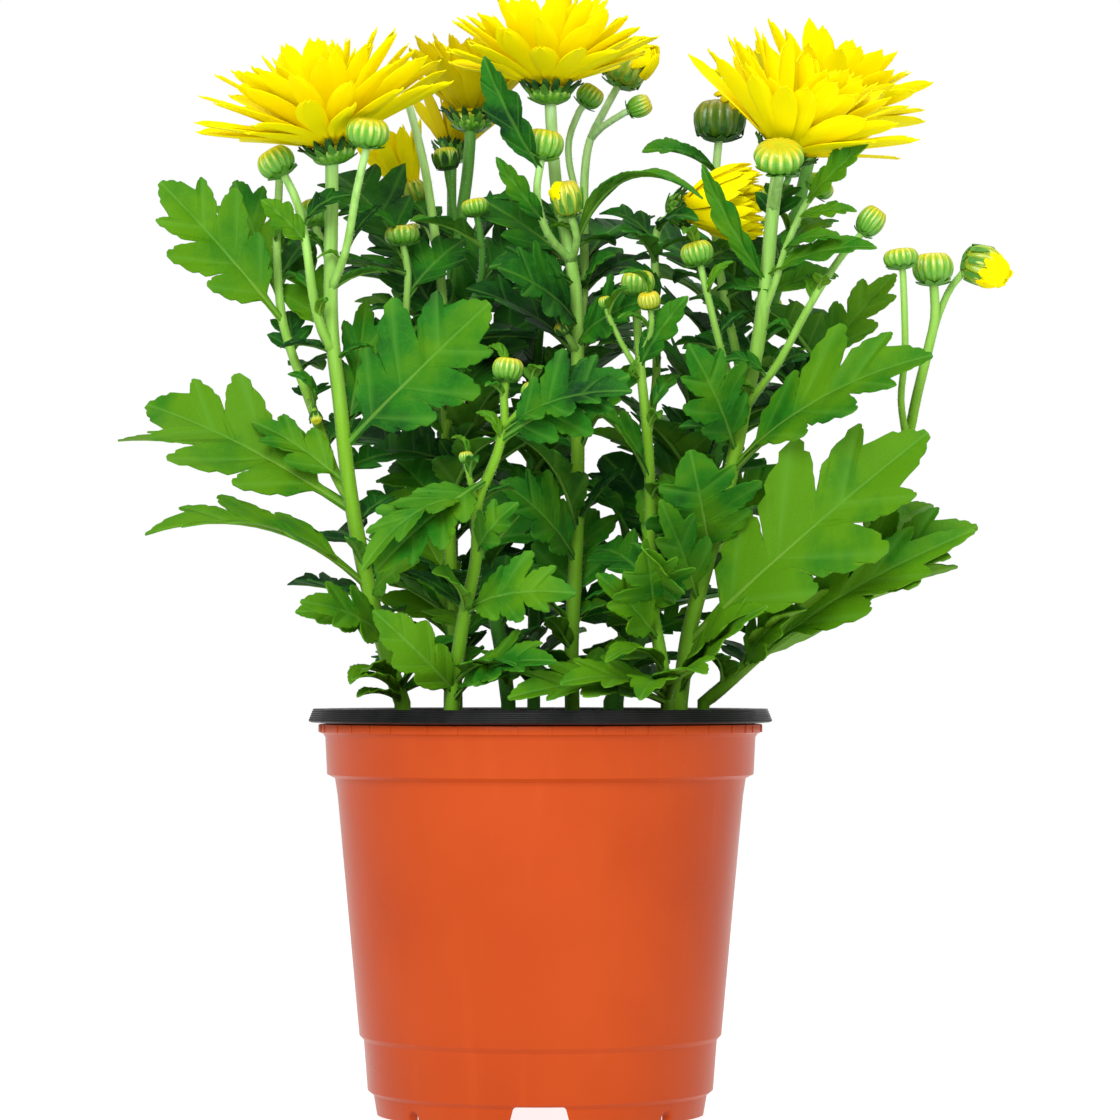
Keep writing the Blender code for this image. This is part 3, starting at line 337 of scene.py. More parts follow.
pot_chance = random.Random(4)
for k in range(RING_RIBS):
    turn = math.tau * (k + pot_chance.uniform(-0.3, 0.3)) / RING_RIBS
    bpy.ops.mesh.primitive_cube_add(size=1)
    rib = bpy.context.object
    wide = pot_chance.choice(RIB_WIDTHS)
    for vert in rib.data.vertices:
        vert.co = Vector((RIB_PLACE[0] + vert.co.x * RIB_DEPTH, vert.co.y * wide,
                          RIB_PLACE[1] + vert.co.z * RIB_HEIGHT)) * MM
    rib.data.transform(Matrix.Translation(AXIS) @ Matrix.Rotation(turn, 4, "Z"))
    ribs.append(rib)
select_only(pot, *ribs)
bpy.ops.object.join()
pot = bpy.context.object
soften(pot, FOOT_BEVEL)
apply_all(pot)
settle(pot)
noted(pot, "orange_pot", moulded_orange())
bpy.ops.object.shade_smooth_by_angle(angle=math.radians(35))
keep(pot, "orange_plastic", "pot_outer")


# The black inner pot. A thin vacuum-formed liner hangs in the orange pot by its rolled lip, which flares
# out over the orange rim and is finely ribbed round its side where the sheet was drawn.

LIP_GROOVES = 5
GROOVE_DEPTH = 0.16
LIP_EDGE = (63.8, 112.8)
LIP_FLARE = 1.15
LIP_DROP = 2.9


def lip_outline():
    """From the soil side over the top, down the grooved flank and back under to the orange rim."""
    outline = [(61.0, 111.9), (61.6, 112.6), (62.6, 112.9), (63.7, 112.9)]
    for k in range(LIP_GROOVES):
        share = (k + 0.35) / LIP_GROOVES
        for step, dip in ((0.0, 0.0), (0.35, GROOVE_DEPTH), (0.6, 0.0)):
            down = share + step / LIP_GROOVES
            outline.append((LIP_EDGE[0] + LIP_FLARE * down - dip, LIP_EDGE[1] - LIP_DROP * down))
    return outline + [(65.0, 109.75), (64.9, 109.35), (64.2, 109.1), (62.3, 108.95), (60.2, 108.9)]


LINER_INSIDE = [(4.0, 9.6), (45.2, 9.6), (53.8, 89.4), (54.7, 95.1), (56.8, 96.5)]
LINER_OUTSIDE = [(57.7, 95.8), (55.6, 94.4), (54.8, 88.8), (46.0, 8.6), (4.0, 8.6)]


def drawn_black():
    finish, tree, shader, dusty = mottled("drawn_black", 0.4, 0.17, (EVEN, 160, 6),
                                          [(0.4, (0.003, 0.0035, 0.0035)), (0.72, grey(0.010))])
    rough = ramp_of(tree, dusty, [(0.3, grey(0.28)), (0.7, grey(0.48))])
    tree.links.new(rough, shader.inputs["Roughness"])
    bumped(tree, shader, stretched_noise(tree, (20, 20, 500), 1), 0.15, 0.1)
    return finish


liner = raise_wall(LINER_INSIDE + lip_outline() + LINER_OUTSIDE, POT_SEGMENTS)
select_only(liner)
bpy.ops.object.mode_set(mode="EDIT")
bpy.ops.mesh.select_all(action="DESELECT")
bpy.ops.mesh.select_non_manifold()
bpy.ops.mesh.edge_face_add()
bpy.ops.mesh.poke()
bpy.ops.object.mode_set(mode="OBJECT")
face_out(liner)
settle(liner)
noted(liner, "black_liner", drawn_black())
bpy.ops.object.shade_smooth_by_angle(angle=math.radians(50))
keep(liner, "black_plastic", "pot_liner")


# The peat. A dark, fibrous potting mix fills the liner in a low mound, loose at the top: lumps, fine crumbs
# and a few chips of brown bark lie on it.

SOIL_EDGE = (57.35, 109.4)
SOIL_OUTLINE = [SOIL_EDGE, (56.2, 97.2), (54.2, 95.8), (53.3, 89.4), (44.8, 9.9), (4.0, 9.9)]
SOIL_RINGS = 26
SOIL_PEAK = 112.3
SOIL_FALL = 2.9
SOIL_TOP = 112.4
CRUMBS = 850
CRUMB_REACH = 55.5
CHIPS = 26
CHIP_REACH = 50
soil_chance = random.Random(7)


def soil_height(x, y):
    """Height of the peat in millimetres at a place in millimetres from the axis."""
    radius = math.hypot(x, y)
    mound = SOIL_PEAK - SOIL_FALL * (radius / 57) ** 2
    lumps = noise.noise(Vector((x, y, 0)) * 0.16) * 1.1 + noise.noise(Vector((x, y, 5)) * 0.5) * 0.6
    fade = min(1, max(0, (57.3 - radius) / 4))
    return min(mound + lumps * fade, SOIL_TOP)


def grainy(name, roughness, grain, stops, strength, distance):
    """A dull finish that is as uneven as its colour."""
    finish, tree, shader, noisy = mottled(name, roughness, 0.5, grain, stops)
    bumped(tree, shader, noisy, strength, distance)
    return finish


def place_on_peat(radius):
    """A place on the peat at a distance from the axis, on a heading drawn by chance."""
    turn = soil_chance.uniform(0, math.tau)
    x, y = radius * math.cos(turn), radius * math.sin(turn)
    return x, y, soil_height(x, y)


crumbly_peat = grainy("crumbly_peat", 0.95, (EVEN, 700, 6), [
    (0.35, (0.008, 0.006, 0.004)), (0.55, (0.030, 0.020, 0.013)), (0.75, (0.085, 0.055, 0.034))], 0.9, 0.8)
split_bark = grainy("split_bark", 0.85, ((900, 200, 300), 1, 5), [
    (0.35, (0.05, 0.022, 0.010)), (0.7, (0.24, 0.105, 0.045))], 0.6, 0.3)
soil = raise_wall(SOIL_OUTLINE, POT_SEGMENTS)
crown = [(SOIL_EDGE[0] * (1 - k / SOIL_RINGS), SOIL_EDGE[1]) for k in range(SOIL_RINGS)]
top = raise_wall(crown, POT_SEGMENTS)
select_only(soil, top)
bpy.ops.object.join()
settle(soil)
for vert in soil.data.vertices:
    if vert.co.z > 109 * MM:
        out = vert.co - AXIS
        vert.co.z = soil_height(out.x / MM, out.y / MM) * MM
face_out(soil)
noted(soil, "peat_mound", crumbly_peat)
bpy.ops.object.shade_smooth()
keep(soil, "peat", "soil")

crumbs = []
for k in range(CRUMBS):
    x, y, height = place_on_peat(CRUMB_REACH * math.sqrt(soil_chance.random()))
    size = soil_chance.choice((0.45, 0.6, 0.8, 1.1, 1.5)) * soil_chance.uniform(0.8, 1.2)
    height = min(height + size * 0.15, SOIL_TOP + 0.3 - size * 0.8)
    crumbs.append((AXIS + Vector((x, y, height)) * MM, size * MM))


def taken_apart(made):
    """The points and faces of a mesh object, which is then deleted."""
    points = [vert.co.copy() for vert in made.data.vertices]
    faces = [tuple(face.vertices) for face in made.data.polygons]
    bpy.data.objects.remove(made, do_unlink=True)
    return points, faces


def piece_of(name, points, faces, finishes, lies=(), slots=()):
    """A piece from points and faces. lies becomes the attribute lie of its points."""
    mesh = bpy.data.meshes.new(name)
    mesh.from_pydata(points, [], faces)
    for finish in finishes:
        mesh.materials.append(finish)
    if lies:
        lie = mesh.attributes.new("lie", "FLOAT_VECTOR", "POINT")
        lie.data.foreach_set("vector", np.array(lies, np.float32).ravel())
    if slots:
        mesh.polygons.foreach_set("material_index", slots)
    made = bpy.data.objects.new(name, mesh)
    bpy.context.scene.collection.objects.link(made)
    return made


def scatter(name, places, finish, stretch):
    """Copies of one rough lump, each turned, stretched and sized its own way, as one piece."""
    bpy.ops.mesh.primitive_ico_sphere_add(subdivisions=1, radius=1)
    shape, faces = taken_apart(bpy.context.object)
    points, sides = [], []
    for place, size in places:
        turn = Matrix.Rotation(soil_chance.uniform(0, math.tau), 3, "Z")
        turn = turn @ Matrix.Rotation(soil_chance.uniform(-0.5, 0.5), 3, "X")
        first = len(points)
        for corner in shape:
            rough = corner * soil_chance.uniform(0.75, 1.2)
            rough = Vector((rough.x * stretch[0], rough.y * stretch[1], rough.z * stretch[2]))
            points.append(place + turn @ rough * size)
        sides += [tuple(first + corner for corner in face) for face in faces]
    return piece_of(name, points, sides, [finish])


keep(scatter("peat_crumbs", crumbs, crumbly_peat, (1, 0.8, 0.7)), "peat")
chips = []
for k in range(CHIPS):
    x, y, height = place_on_peat(CHIP_REACH * math.sqrt(soil_chance.uniform(0.1, 1)))
    chips.append((AXIS + Vector((x, y, min(height + 0.2, SOIL_TOP - 0.5))) * MM,
                  soil_chance.uniform(1.0, 1.7) * MM))
keep(scatter("bark_chips", chips, split_bark, (1.7, 0.9, 0.35)), "peat")


# The stalks. Each leafy stem leaves the peat as one upright stalk and forks into side shoots and flower
# stalks. They are round and finely ribbed, yellow-green and bare low down, and paler under white down above.

# A stalk grows from its parent at a row of the picture and runs through its points: parent, row, diameter
# at its foot, diameter at its end, points. "root" is where the stem leaves the peat, from the axis.
STALKS = {
    "left": {
        "root": (-38, -17),
        "main": (None, 0, 4.8, 3.8, [(387, 655, -18), (366, 575, -20), (350, 490, -20), (340, 400, -18),
                                     (332, 330, -16), (331, 260, -15), (332, 200, -14), (332, 146, -14)]),
        "front": ("main", 290, 2.4, 2.2, [(346, 250, -23), (357, 190, -32), (366, 150, -36),
                                          (368, 132, -37)]),
        "side": ("main", 352, 2.8, 2.3, [(322, 330, -18), (313, 295, -19), (307, 250, -20),
                                         (298, 205, -19), (284, 175, -18), (276, 162, -18)]),
        "behind": ("main", 268, 2.2, 2.2, [(322, 242, -3), (316, 228, 3), (315, 213, 4)]),
        "outer": ("main", 500, 3.2, 2.2, [(336, 475, -16), (322, 435, -11), (304, 385, -8),
                                          (291, 350, -6), (281, 310, -4), (277, 245, -2), (279, 190, 0),
                                          (280, 167, 1)]),
        "tiny": ("outer", 400, 1.8, 1.8, [(314, 409, -14), (316, 418, -16)]),
    },
    "left_inner": {
        "root": (-24, 12),
        "main": (None, 0, 4.2, 2.2, [(455, 650, 13), (452, 590, 11), (449, 500, 9), (446, 400, 8),
                                     (443, 310, 8), (440, 268, 8), (433, 220, 10), (425, 168, 12),
                                     (412, 115, 16), (403, 86, 18), (400, 72, 19)]),
        "low": ("main", 405, 2.2, 2.0, [(424, 370, 3), (407, 324, 0), (408, 273, -2), (403, 246, -3),
                                        (402, 235, -3)]),
        "half_open": ("main", 245, 2.4, 2.4, [(426, 222, 18), (416, 202, 26), (410, 190, 28)]),
    },
    "second": {
        "root": (-9, 8),
        "main": (None, 0, 4.4, 3.4, [(500, 640, 9), (483, 560, 12), (467, 470, 17), (456, 380, 21),
                                     (452, 310, 25), (454, 270, 28), (461, 220, 32), (468, 170, 36),
                                     (472, 113, 40)]),
        "low": ("main", 330, 2.1, 1.9, [(470, 306, 14), (481, 280, 6), (482, 245, 0), (477, 217, -4),
                                        (475, 207, -4)]),
        "behind": ("main", 240, 2.0, 2.0, [(453, 205, 30), (448, 175, 30), (446, 158, 30)]),
    },
    "front": {
        "root": (-24, -36),
        "main": (None, 0, 4.4, 2.2, [(463, 624, -39), (476, 560, -42), (478, 502, -44), (488, 477, -45),
                                     (498, 452, -46), (505, 420, -46), (504, 398, -46), (508, 369, -46)]),
        "right": ("main", 430, 1.9, 1.8, [(518, 413, -48), (528, 402, -48), (532, 392, -48)]),
        "left": ("main", 505, 1.7, 1.6, [(470, 480, -46), (467, 466, -46), (466, 457, -46)]),
    },
    "centre": {
        "root": (9, -6),
        "main": (None, 0, 4.4, 3.4, [(572, 640, -7), (576, 560, -6), (578, 470, -5), (578, 380, -4),
                                     (577, 310, -3), (574, 278, -3), (566, 236, -3), (557, 190, -4),
                                     (552, 130, -6), (550, 86, -8)]),
        "second": ("main", 335, 2.8, 2.2, [(584, 290, 4), (584, 215, 8), (585, 170, 11), (590, 140, 14),
                                           (603, 113, 20), (620, 82, 27)]),
        "hidden": ("second", 215, 2.0, 2.0, [(571, 172, 12), (569, 140, 13), (580, 110, 13),
                                             (590, 96, 13)]),
        "twin": ("second", 138, 2.0, 2.0, [(602, 127, 9), (624, 113, 5), (640, 106, 4)]),
        "opening": ("main", 262, 2.2, 2.2, [(577, 238, -10), (570, 214, -14)]),
        "upright": ("main", 262, 2.2, 2.2, [(547, 232, -12), (537, 195, -18), (541, 162, -20),
                                            (544, 144, -20)]),
        "dark": ("main", 352, 1.8, 1.8, [(569, 338, -9), (563, 328, -10)]),
    },
    "middle_right": {
        "root": (35, -30),
        "main": (None, 0, 4.0, 2.4, [(661, 655, -29), (652, 605, -28), (650, 560, -27), (650, 480, -26),
                                     (646, 420, -25), (641, 370, -24), (637, 315, -24), (638, 283, -24)]),
        "right": ("main", 356, 1.7, 1.6, [(651, 332, -31), (651, 314, -34), (649, 300, -35)]),
        "left": ("main", 378, 1.6, 1.5, [(621, 342, -26), (608, 314, -27), (605, 302, -27)]),
        "cup": ("main", 432, 2.4, 2.4, [(656, 380, -14), (656, 300, -6), (655, 245, -4), (662, 222, -4),
                                        (676, 213, -4), (686, 209, -4)]),
    },
    "right": {
        "root": (39, -8),
        "main": (None, 0, 4.8, 3.8, [(685, 660, -9), (691, 625, -9), (708, 560, -11), (725, 500, -13),
                                     (738, 440, -14), (745, 405, -15), (757, 350, -16), (766, 285, -18),
                                     (772, 220, -20), (778, 175, -22), (785, 152, -24)]),
        "front": ("main", 208, 2.4, 2.2, [(776, 190, -30), (779, 174, -38), (779, 156, -41)]),
        "inner": ("main", 316, 2.0, 1.9, [(776, 280, -21), (785, 250, -23), (800, 215, -24),
                                          (812, 194, -24), (820, 186, -24)]),
        "outer": ("main", 408, 2.4, 2.0, [(762, 385, -20), (780, 360, -23), (811, 303, -26),
                                          (840, 258, -27), (863, 232, -27), (871, 221, -27)]),
        "left": ("main", 414, 2.2, 2.0, [(731, 380, -18), (721, 350, -21), (711, 310, -23),
                                         (701, 268, -23), (697, 253, -23)]),
        "back": ("main", 430, 2.6, 2.4, [(740, 375, -4), (727, 310, 8), (717, 250, 14), (715, 200, 15),
                                         (717, 160, 14), (720, 132, 13)]),
    },
    "back_bloom": {
        "root": (20, 20),
        "main": (None, 0, 4.4, 3.6, [(640, 640, 21), (682, 540, 24), (728, 430, 25), (764, 330, 27),
                                     (790, 240, 31), (808, 165, 35), (815, 128, 37)]),
        "low": ("main", 412, 2.0, 1.9, [(775, 400, 22), (812, 378, 16), (824, 356, 14)]),
    },
    "far_right": {
        "root": (46, 4),
        "main": (None, 0, 4.0, 2.6, [(722, 688, 3), (762, 652, 2), (805, 615, 0), (850, 562, -6),
                                     (882, 515, -12), (905, 450, -18), (917, 396, -22), (927, 355, -24),
                                     (935, 318, -24), (934, 285, -24), (933, 268, -24)]),
        "outer": ("main", 342, 2.0, 2.0, [(940, 312, -22), (952, 286, -19), (972, 263, -18)]),
        "front": ("main", 442, 2.0, 1.9, [(901, 400, -28), (905, 350, -33), (903, 275, -35),
                                          (901, 258, -35)]),
    },
    "back_left": {
        "root": (-26, 32),
        "main": (None, 0, 4.2, 2.8, [(452, 600, 36), (452, 490, 43), (452, 370, 50), (452, 250, 57),
                                     (452, 180, 62), (453, 148, 64)]),
        "bud": ("main", 330, 2.2, 2.0, [(428, 290, 58), (416, 255, 62), (414, 236, 64)]),
    },
    "back_middle": {
        "root": (-2, 34),
        "main": (None, 0, 4.0, 2.4, [(534, 600, 38), (531, 500, 43), (534, 410, 48), (540, 330, 52),
                                     (545, 282, 54), (546, 264, 54)]),
        "bud": ("main", 420, 2.2, 2.0, [(556, 380, 56), (570, 350, 62), (572, 332, 64)]),
    },
    "back_right": {
        "root": (22, 34),
        "main": (None, 0, 4.2, 2.6, [(628, 620, 38), (660, 510, 46), (698, 400, 52), (730, 300, 56),
                                     (748, 225, 58), (752, 196, 58)]),
        "bud": ("main", 380, 2.2, 2.0, [(736, 352, 60), (760, 326, 66), (768, 306, 68)]),
        "second": ("main", 250, 2.0, 2.0, [(770, 215, 66), (788, 180, 70), (790, 164, 70)]),
    },
}
STALK_STEP = 3.5
STEM_BOTTOM = 86.0
STEM_COLLAR = 114.5
COARSE_STEP = 34
STALK_RIBS = 7
RIB_HOLLOW = 0.86
JOINT_SWELL = 0.25
MAIN_DIAMETER = 4
DOWN_SPACING = 0.30
DOWN_WIDTH = 0.045


def smooth_path(points, step):
    """A Catmull-Rom curve through the points, as a list of points about a step apart."""
    ends = [2 * points[0] - points[1], *points, 2 * points[-1] - points[-2]]
    path = [points[0].copy()]
    for a, b, c, d in zip(ends, ends[1:], ends[2:], ends[3:]):
        count = max(1, round((c - b).length / (step * MM)))
        for k in range(1, count + 1):
            t = k / count
            bend = (2 * a - 5 * b + 4 * c - d) * t * t + (3 * b - a - 3 * c + d) * t ** 3
            path.append(b + ((c - a) * t + bend) / 2)
    return path


def at_row(path, row):
    """The point where a path crosses a row of the picture, or its nearer end."""
    for a, b in zip(path, path[1:]):
        low, high = row_of(a), row_of(b)
        if min(low, high) <= row <= max(low, high):
            return a.lerp(b, (row - low) / ((high - low) or 1))
    return min((path[0], path[-1]), key=lambda end: abs(row_of(end) - row)).copy()


def paths_of(stem, step):
    """The centreline of each stalk of a stem."""
    x, y = stem["root"]
    foot = AXIS + Vector((x, y, STEM_BOTTOM)) * MM
    collar = AXIS + Vector((x, y, STEM_COLLAR)) * MM
    paths = {}
    for name, branch in stem.items():
        if name == "root":
            continue
        parent, row, _, _, points = branch
        through = [seen(*point) for point in points]
        if parent is None:
            paths[name] = [foot, *smooth_path([collar] + through, step)]
        else:
            paths[name] = smooth_path([at_row(paths[parent], row)] + through, step)
    return paths


def downy_stalk(name, colours):
    """Fine lengthwise streaks over a green that turns paler with height."""
    finish, tree, shader = new_finish(name, 0.55, 0.2)
    place = tree.nodes.new("ShaderNodeTexCoord")
    level = add_node(tree, "ShaderNodeSeparateXYZ", [("Vector", place.outputs["Object"])])
    share = add_node(tree, "ShaderNodeMapRange", [("Value", level.outputs["Z"])], From_Min=0.11,
                     From_Max=0.29)
    colour = ramp_of(tree, share.outputs["Result"], list(zip((0.0, 0.45, 0.8, 1.0), colours)))
    streaks = stretched_noise(tree, (520, 520, 16), 1, 3)
    shaded = mixed(tree, ramp_of(tree, streaks, [(0.42, grey(0)), (0.62, grey(0.38))]), colour, colours[0])
    tree.links.new(shaded, shader.inputs["Base Color"])
    shader.inputs["Sheen Weight"].default_value = 0.1
    bumped(tree, shader, streaks, 0.4, 0.3)
    return finish


def ribbed_section():
    """The stalk's cross-section, a ribbed ring one millimetre in radius."""
    curve = bpy.data.curves.new("stalk_section", "CURVE")
    curve.dimensions = "2D"
    spline = curve.splines.new("POLY")
    spline.points.add(2 * STALK_RIBS - 1)
    for k, point in enumerate(spline.points):
        turn = math.pi * k / STALK_RIBS
        out = MM * (1.0 if k % 2 else RIB_HOLLOW)
        point.co = (out * math.cos(turn), out * math.sin(turn), 0, 1)
    spline.use_cyclic_u = True
    made = bpy.data.objects.new("stalk_section", curve)
    bpy.context.scene.collection.objects.link(made)
    return made


def draw_stalk(path, start, end, section):
    """A curve with the ribbed section along a path. A side stalk swells a little where it joins."""
    curve = bpy.data.curves.new("stalk", "CURVE")
    curve.dimensions = "3D"
    curve.bevel_mode = "OBJECT"
    curve.bevel_object = section
    curve.use_fill_caps = True
    spline = curve.splines.new("POLY")
    spline.points.add(len(path) - 1)
    for k, (point, co) in enumerate(zip(spline.points, path)):
        share = k / (len(path) - 1)
        swell = JOINT_SWELL * math.exp(-(share * len(path) / 1.6) ** 2) if start < MAIN_DIAMETER else 0
        point.co = (*co, 1)
        point.radius = (start + (end - start) * share) / 2 * (1 + swell)
    made = bpy.data.objects.new("stalk", curve)
    bpy.context.scene.collection.objects.link(made)
    return made


def down_on(path, start, end, chance, points, faces):
    """Fine upward hairs along a stalk, each a thin three-sided spike with its root in the stalk."""
    for k, (a, b) in enumerate(zip(path, path[1:])):
        along = (b - a).normalized()
        aside = along.orthogonal().normalized()
        share = k / (len(path) - 1)
        radius = (start + (end - start) * share) / 2
        for _ in range(round((b - a).length / MM / DOWN_SPACING)):
            turn = Matrix.Rotation(chance.uniform(0, math.tau), 3, along)
            out = turn @ aside
            root = a.lerp(b, chance.random()) + out * radius * 0.9 * MM
            across = along.cross(out) * DOWN_WIDTH * MM
            tip = root + (out * chance.uniform(0.45, 0.8) + along * chance.uniform(0.0, 0.5)) * MM
            first = len(points)
            points += [root + across, root - across, root + along * 0.08 * MM, tip]
            faces += [(first, first + 1, first + 3), (first + 1, first + 2, first + 3),
                      (first + 2, first, first + 3)]


bright_stalk = downy_stalk("downy_stalk", ((0.12, 0.33, 0.006), (0.19, 0.43, 0.012), (0.37, 0.68, 0.16),
                                           (0.58, 0.86, 0.46)))
shaded_stalk = downy_stalk("shaded_stalk", ((0.04, 0.20, 0.008), (0.06, 0.26, 0.02), (0.09, 0.30, 0.035),
                                            (0.14, 0.36, 0.07)))
white_down = mottled("white_down", 0.8, 0.5, (EVEN, 300), [
    (0.3, (0.42, 0.62, 0.30)), (0.7, (0.72, 0.82, 0.62))])[0]
section = ribbed_section()
stalk_chance = random.Random(12)
PATHS = {}
COARSE_PATHS = {}
for name, stem in STALKS.items():
    PATHS[name] = paths_of(stem, STALK_STEP)
    COARSE_PATHS[name] = paths_of(stem, COARSE_STEP)
    drawn = []
    hair_points, hair_faces = [], []
    for branch, path in PATHS[name].items():
        start, end = stem[branch][2:4]
        drawn.append(draw_stalk(path, start, end, section))
        clear = [point for point in path if point.z > STEM_COLLAR * MM]
        down_on(clear, start, end, stalk_chance, hair_points, hair_faces)
    select_only(*drawn)
    bpy.ops.object.convert(target="MESH")
    bpy.ops.object.join()
    finish = shaded_stalk if name == "second" or name.startswith("back_") else bright_stalk
    stalks = noted(bpy.context.object, f"stalks_{name}", finish)
    face_out(stalks)
    bpy.ops.object.shade_smooth()
    keep(stalks, "leaf_green", f"stem_{name}")
    keep(piece_of(f"down_{name}", hair_points, hair_faces, [white_down]), "leaf_green")
bpy.data.objects.remove(section, do_unlink=True)


# The leaves. Soft, slightly fleshy blades with deep rounded lobes and small teeth, on winged petioles that
# clasp the stalk. The upper side is matt with pale veins and fine down, and the underside paler. Leaves at
# the outside are light olive, and those inside the plant are dark: partly their own deeper green, partly
# painted shade where the stalks and leaves shade each other.

LEAVES = {
    "left": [
        ("outer", 322, (160, 182, -12), 14, (-0.45, -0.6, 0.65), "big", 3),
        ("outer", 300, (235, 181, 16), 10, (-0.3, -0.6, 0.7), "mid", 3),
        ("side", 242, (261, 200, -24), 4.5, (-0.3, -0.8, 0.5), "lance", 2),
        ("main", 352, (245, 235, 18), 9, (-0.3, -0.7, 0.7), "mid", 4),
        ("main", 512, (147, 405, 6), 18, (-0.25, -0.75, 0.6), "big", 5),
        ("main", 507, (118, 441, 52), 10, (0, 0, 1), "mid", 6),
        ("main", 587, (145, 535, -30), 14, (-0.1, -0.32, 0.95), "big", 10),
        ("main", 637, (295, 612, -38), 7, (0, -0.85, 0.5), "lance", 4),
        ("main", 688, (350, 684, -44), 5, (-0.2, -0.3, 0.9), "lance", 5),
        ("main", 488, (270, 424, -2), 8, (-0.3, -0.6, 0.7), "mid", 3),
        ("main", 446, (490, 303, -33), 19, (0.1, -0.95, 0.35), "big", 2),
        ("main", 450, (366, 300, 2), 8, (0.2, -0.8, 0.6), "mid", 3),
    ],
    "left_inner": [
        ("main", 520, (395, 462, 24), 13, (-0.2, -0.75, 0.6), "mid", 4),
        ("main", 400, (402, 330, 26), 10, (-0.2, -0.75, 0.6), "mid", 4),
        ("main", 640, (392, 556, 34), 14, (-0.2, -0.6, 0.75), "mid", 5),
    ],
    "second": [
        ("main", 560, (560, 480, 24), 14, (0.2, -0.75, 0.6), "mid", 4),
        ("main", 420, (520, 340, 24), 13, (0.2, -0.75, 0.6), "mid", 4),
        ("main", 330, (516, 240, 40), 11, (0.2, -0.7, 0.65), "mid", 4),
    ],
    "front": [
        ("main", 430, (632, 392, -70), 11, (0.05, -0.75, 0.7), "big", 4),
        ("main", 500, (362, 571, -72), 8, (-0.45, -0.75, 0.45), "mid", 7),
        ("main", 612, (576, 594, -60), 11, (0, -0.88, 0.45), "big", 5),
        ("main", 615, (432, 572, -56), 6, (0, -0.7, 0.7), "lance", 3),
        ("main", 555, (519, 503, -52), 7, (0, -0.8, 0.6), "mid", 2),
        ("main", 690, (386, 600, -54), 8, (-0.3, -0.85, 0.4), "lance", 4),
        ("main", 684, (522, 668, -62), 8, (0, -0.35, 0.95), "mid", 4),
    ],
    "centre": [
        ("main", 285, (489, 268, -16), 8, (-0.1, -0.7, 0.7), "mid", 4),
        ("second", 290, (616, 255, -8), 5, (0.1, -0.7, 0.7), "lance", 2),
        ("upright", 168, (484, 56, -36), 6, (-0.5, -0.8, 0.3), "lance", 2),
        ("upright", 222, (496, 157, -28), 3.5, (-0.4, -0.8, 0.4), "lance", 2),
        ("opening", 248, (703, 199, -32), 6, (0, -0.1, 1), "lance", 13),
        ("main", 562, (500, 482, -26), 12, (-0.1, -0.8, 0.6), "big", 3),
        ("main", 676, (500, 668, -34), 8, (0, -0.3, 0.95), "mid", 5),
        ("main", 690, (606, 682, -52), 9, (0, -0.35, 0.95), "big", 5),
        ("main", 480, (622, 544, 14), 7, (0.2, -0.6, 0.7), "lance", 4),
    ],
    "middle_right": [
        ("main", 605, (642, 548, -56), 12, (0, -0.85, 0.5), "big", 2),
        ("cup", 262, (622, 231, -22), 6, (0, -0.6, 0.8), "lance", 2),
        ("main", 366, (688, 296, -36), 5, (0.2, -0.8, 0.6), "lance", 2),
        ("main", 672, (605, 662, -60), 5, (0, -0.5, 0.85), "lance", 5),
        ("main", 692, (640, 700, -68), 7, (0, -0.5, 0.85), "lance", 4),
    ],
    "right": [
        ("main", 556, (690, 450, -44), 17, (-0.1, -0.85, 0.5), "big", 3),
        ("main", 470, (933, 356, -46), 18, (0.2, -0.7, 0.7), "big", 6),
        ("main", 643, (904, 430, -52), 21, (0.25, -0.8, 0.5), "big", 4),
        ("main", 690, (766, 606, -48), 10, (0.1, -0.7, 0.6), "mid", 4),
        ("inner", 202, (868, 144, -44), 5, (0.3, -0.8, 0.5), "lance", 1),
        ("inner", 217, (857, 211, -34), 3, (0.2, -0.8, 0.5), "lance", 1),
        ("inner", 250, (841, 238, -38), 3.5, (0.2, -0.8, 0.5), "lance", 2),
        ("main", 276, (877, 248, -42), 6, (0.1, -0.75, 0.65), "lance", 3),
        ("main", 298, (838, 276, -4), 5, (0.1, -0.75, 0.65), "lance", 3),
        ("main", 282, (702, 164, -38), 4, (-0.5, -0.8, 0.3), "lance", 2),
        ("back", 172, (642, 152, 2), 6, (-0.1, -0.6, 0.8), "lance", 3),
    ],
    "back_bloom": [
        ("low", 374, (896, 274, 26), 8, (0.2, -0.6, 0.7), "mid", 3),
        ("main", 560, (800, 470, 40), 12, (0.2, -0.5, 0.8), "big", 6),
        ("main", 450, (850, 400, 52), 9, (0.2, -0.3, 0.9), "mid", 5),
        ("main", 330, (690, 300, 50), 8, (-0.2, -0.3, 0.9), "mid", 4),
        ("main", 250, (830, 225, 52), 7, (0.2, -0.2, 0.9), "mid", 4),
    ],
    "far_right": [
        ("main", 620, (978, 527, -28), 14, (0.05, -0.82, 0.55), "big", 5),
        ("main", 690, (970, 568, -12), 11, (0, 0.42, 0.9), "mid", 6),
        ("main", 562, (932, 505, 28), 8, (0.1, -0.6, 0.7), "mid", 3),
        ("main", 662, (794, 610, -30), 7, (0.1, -0.7, 0.7), "mid", 3),
    ],
}
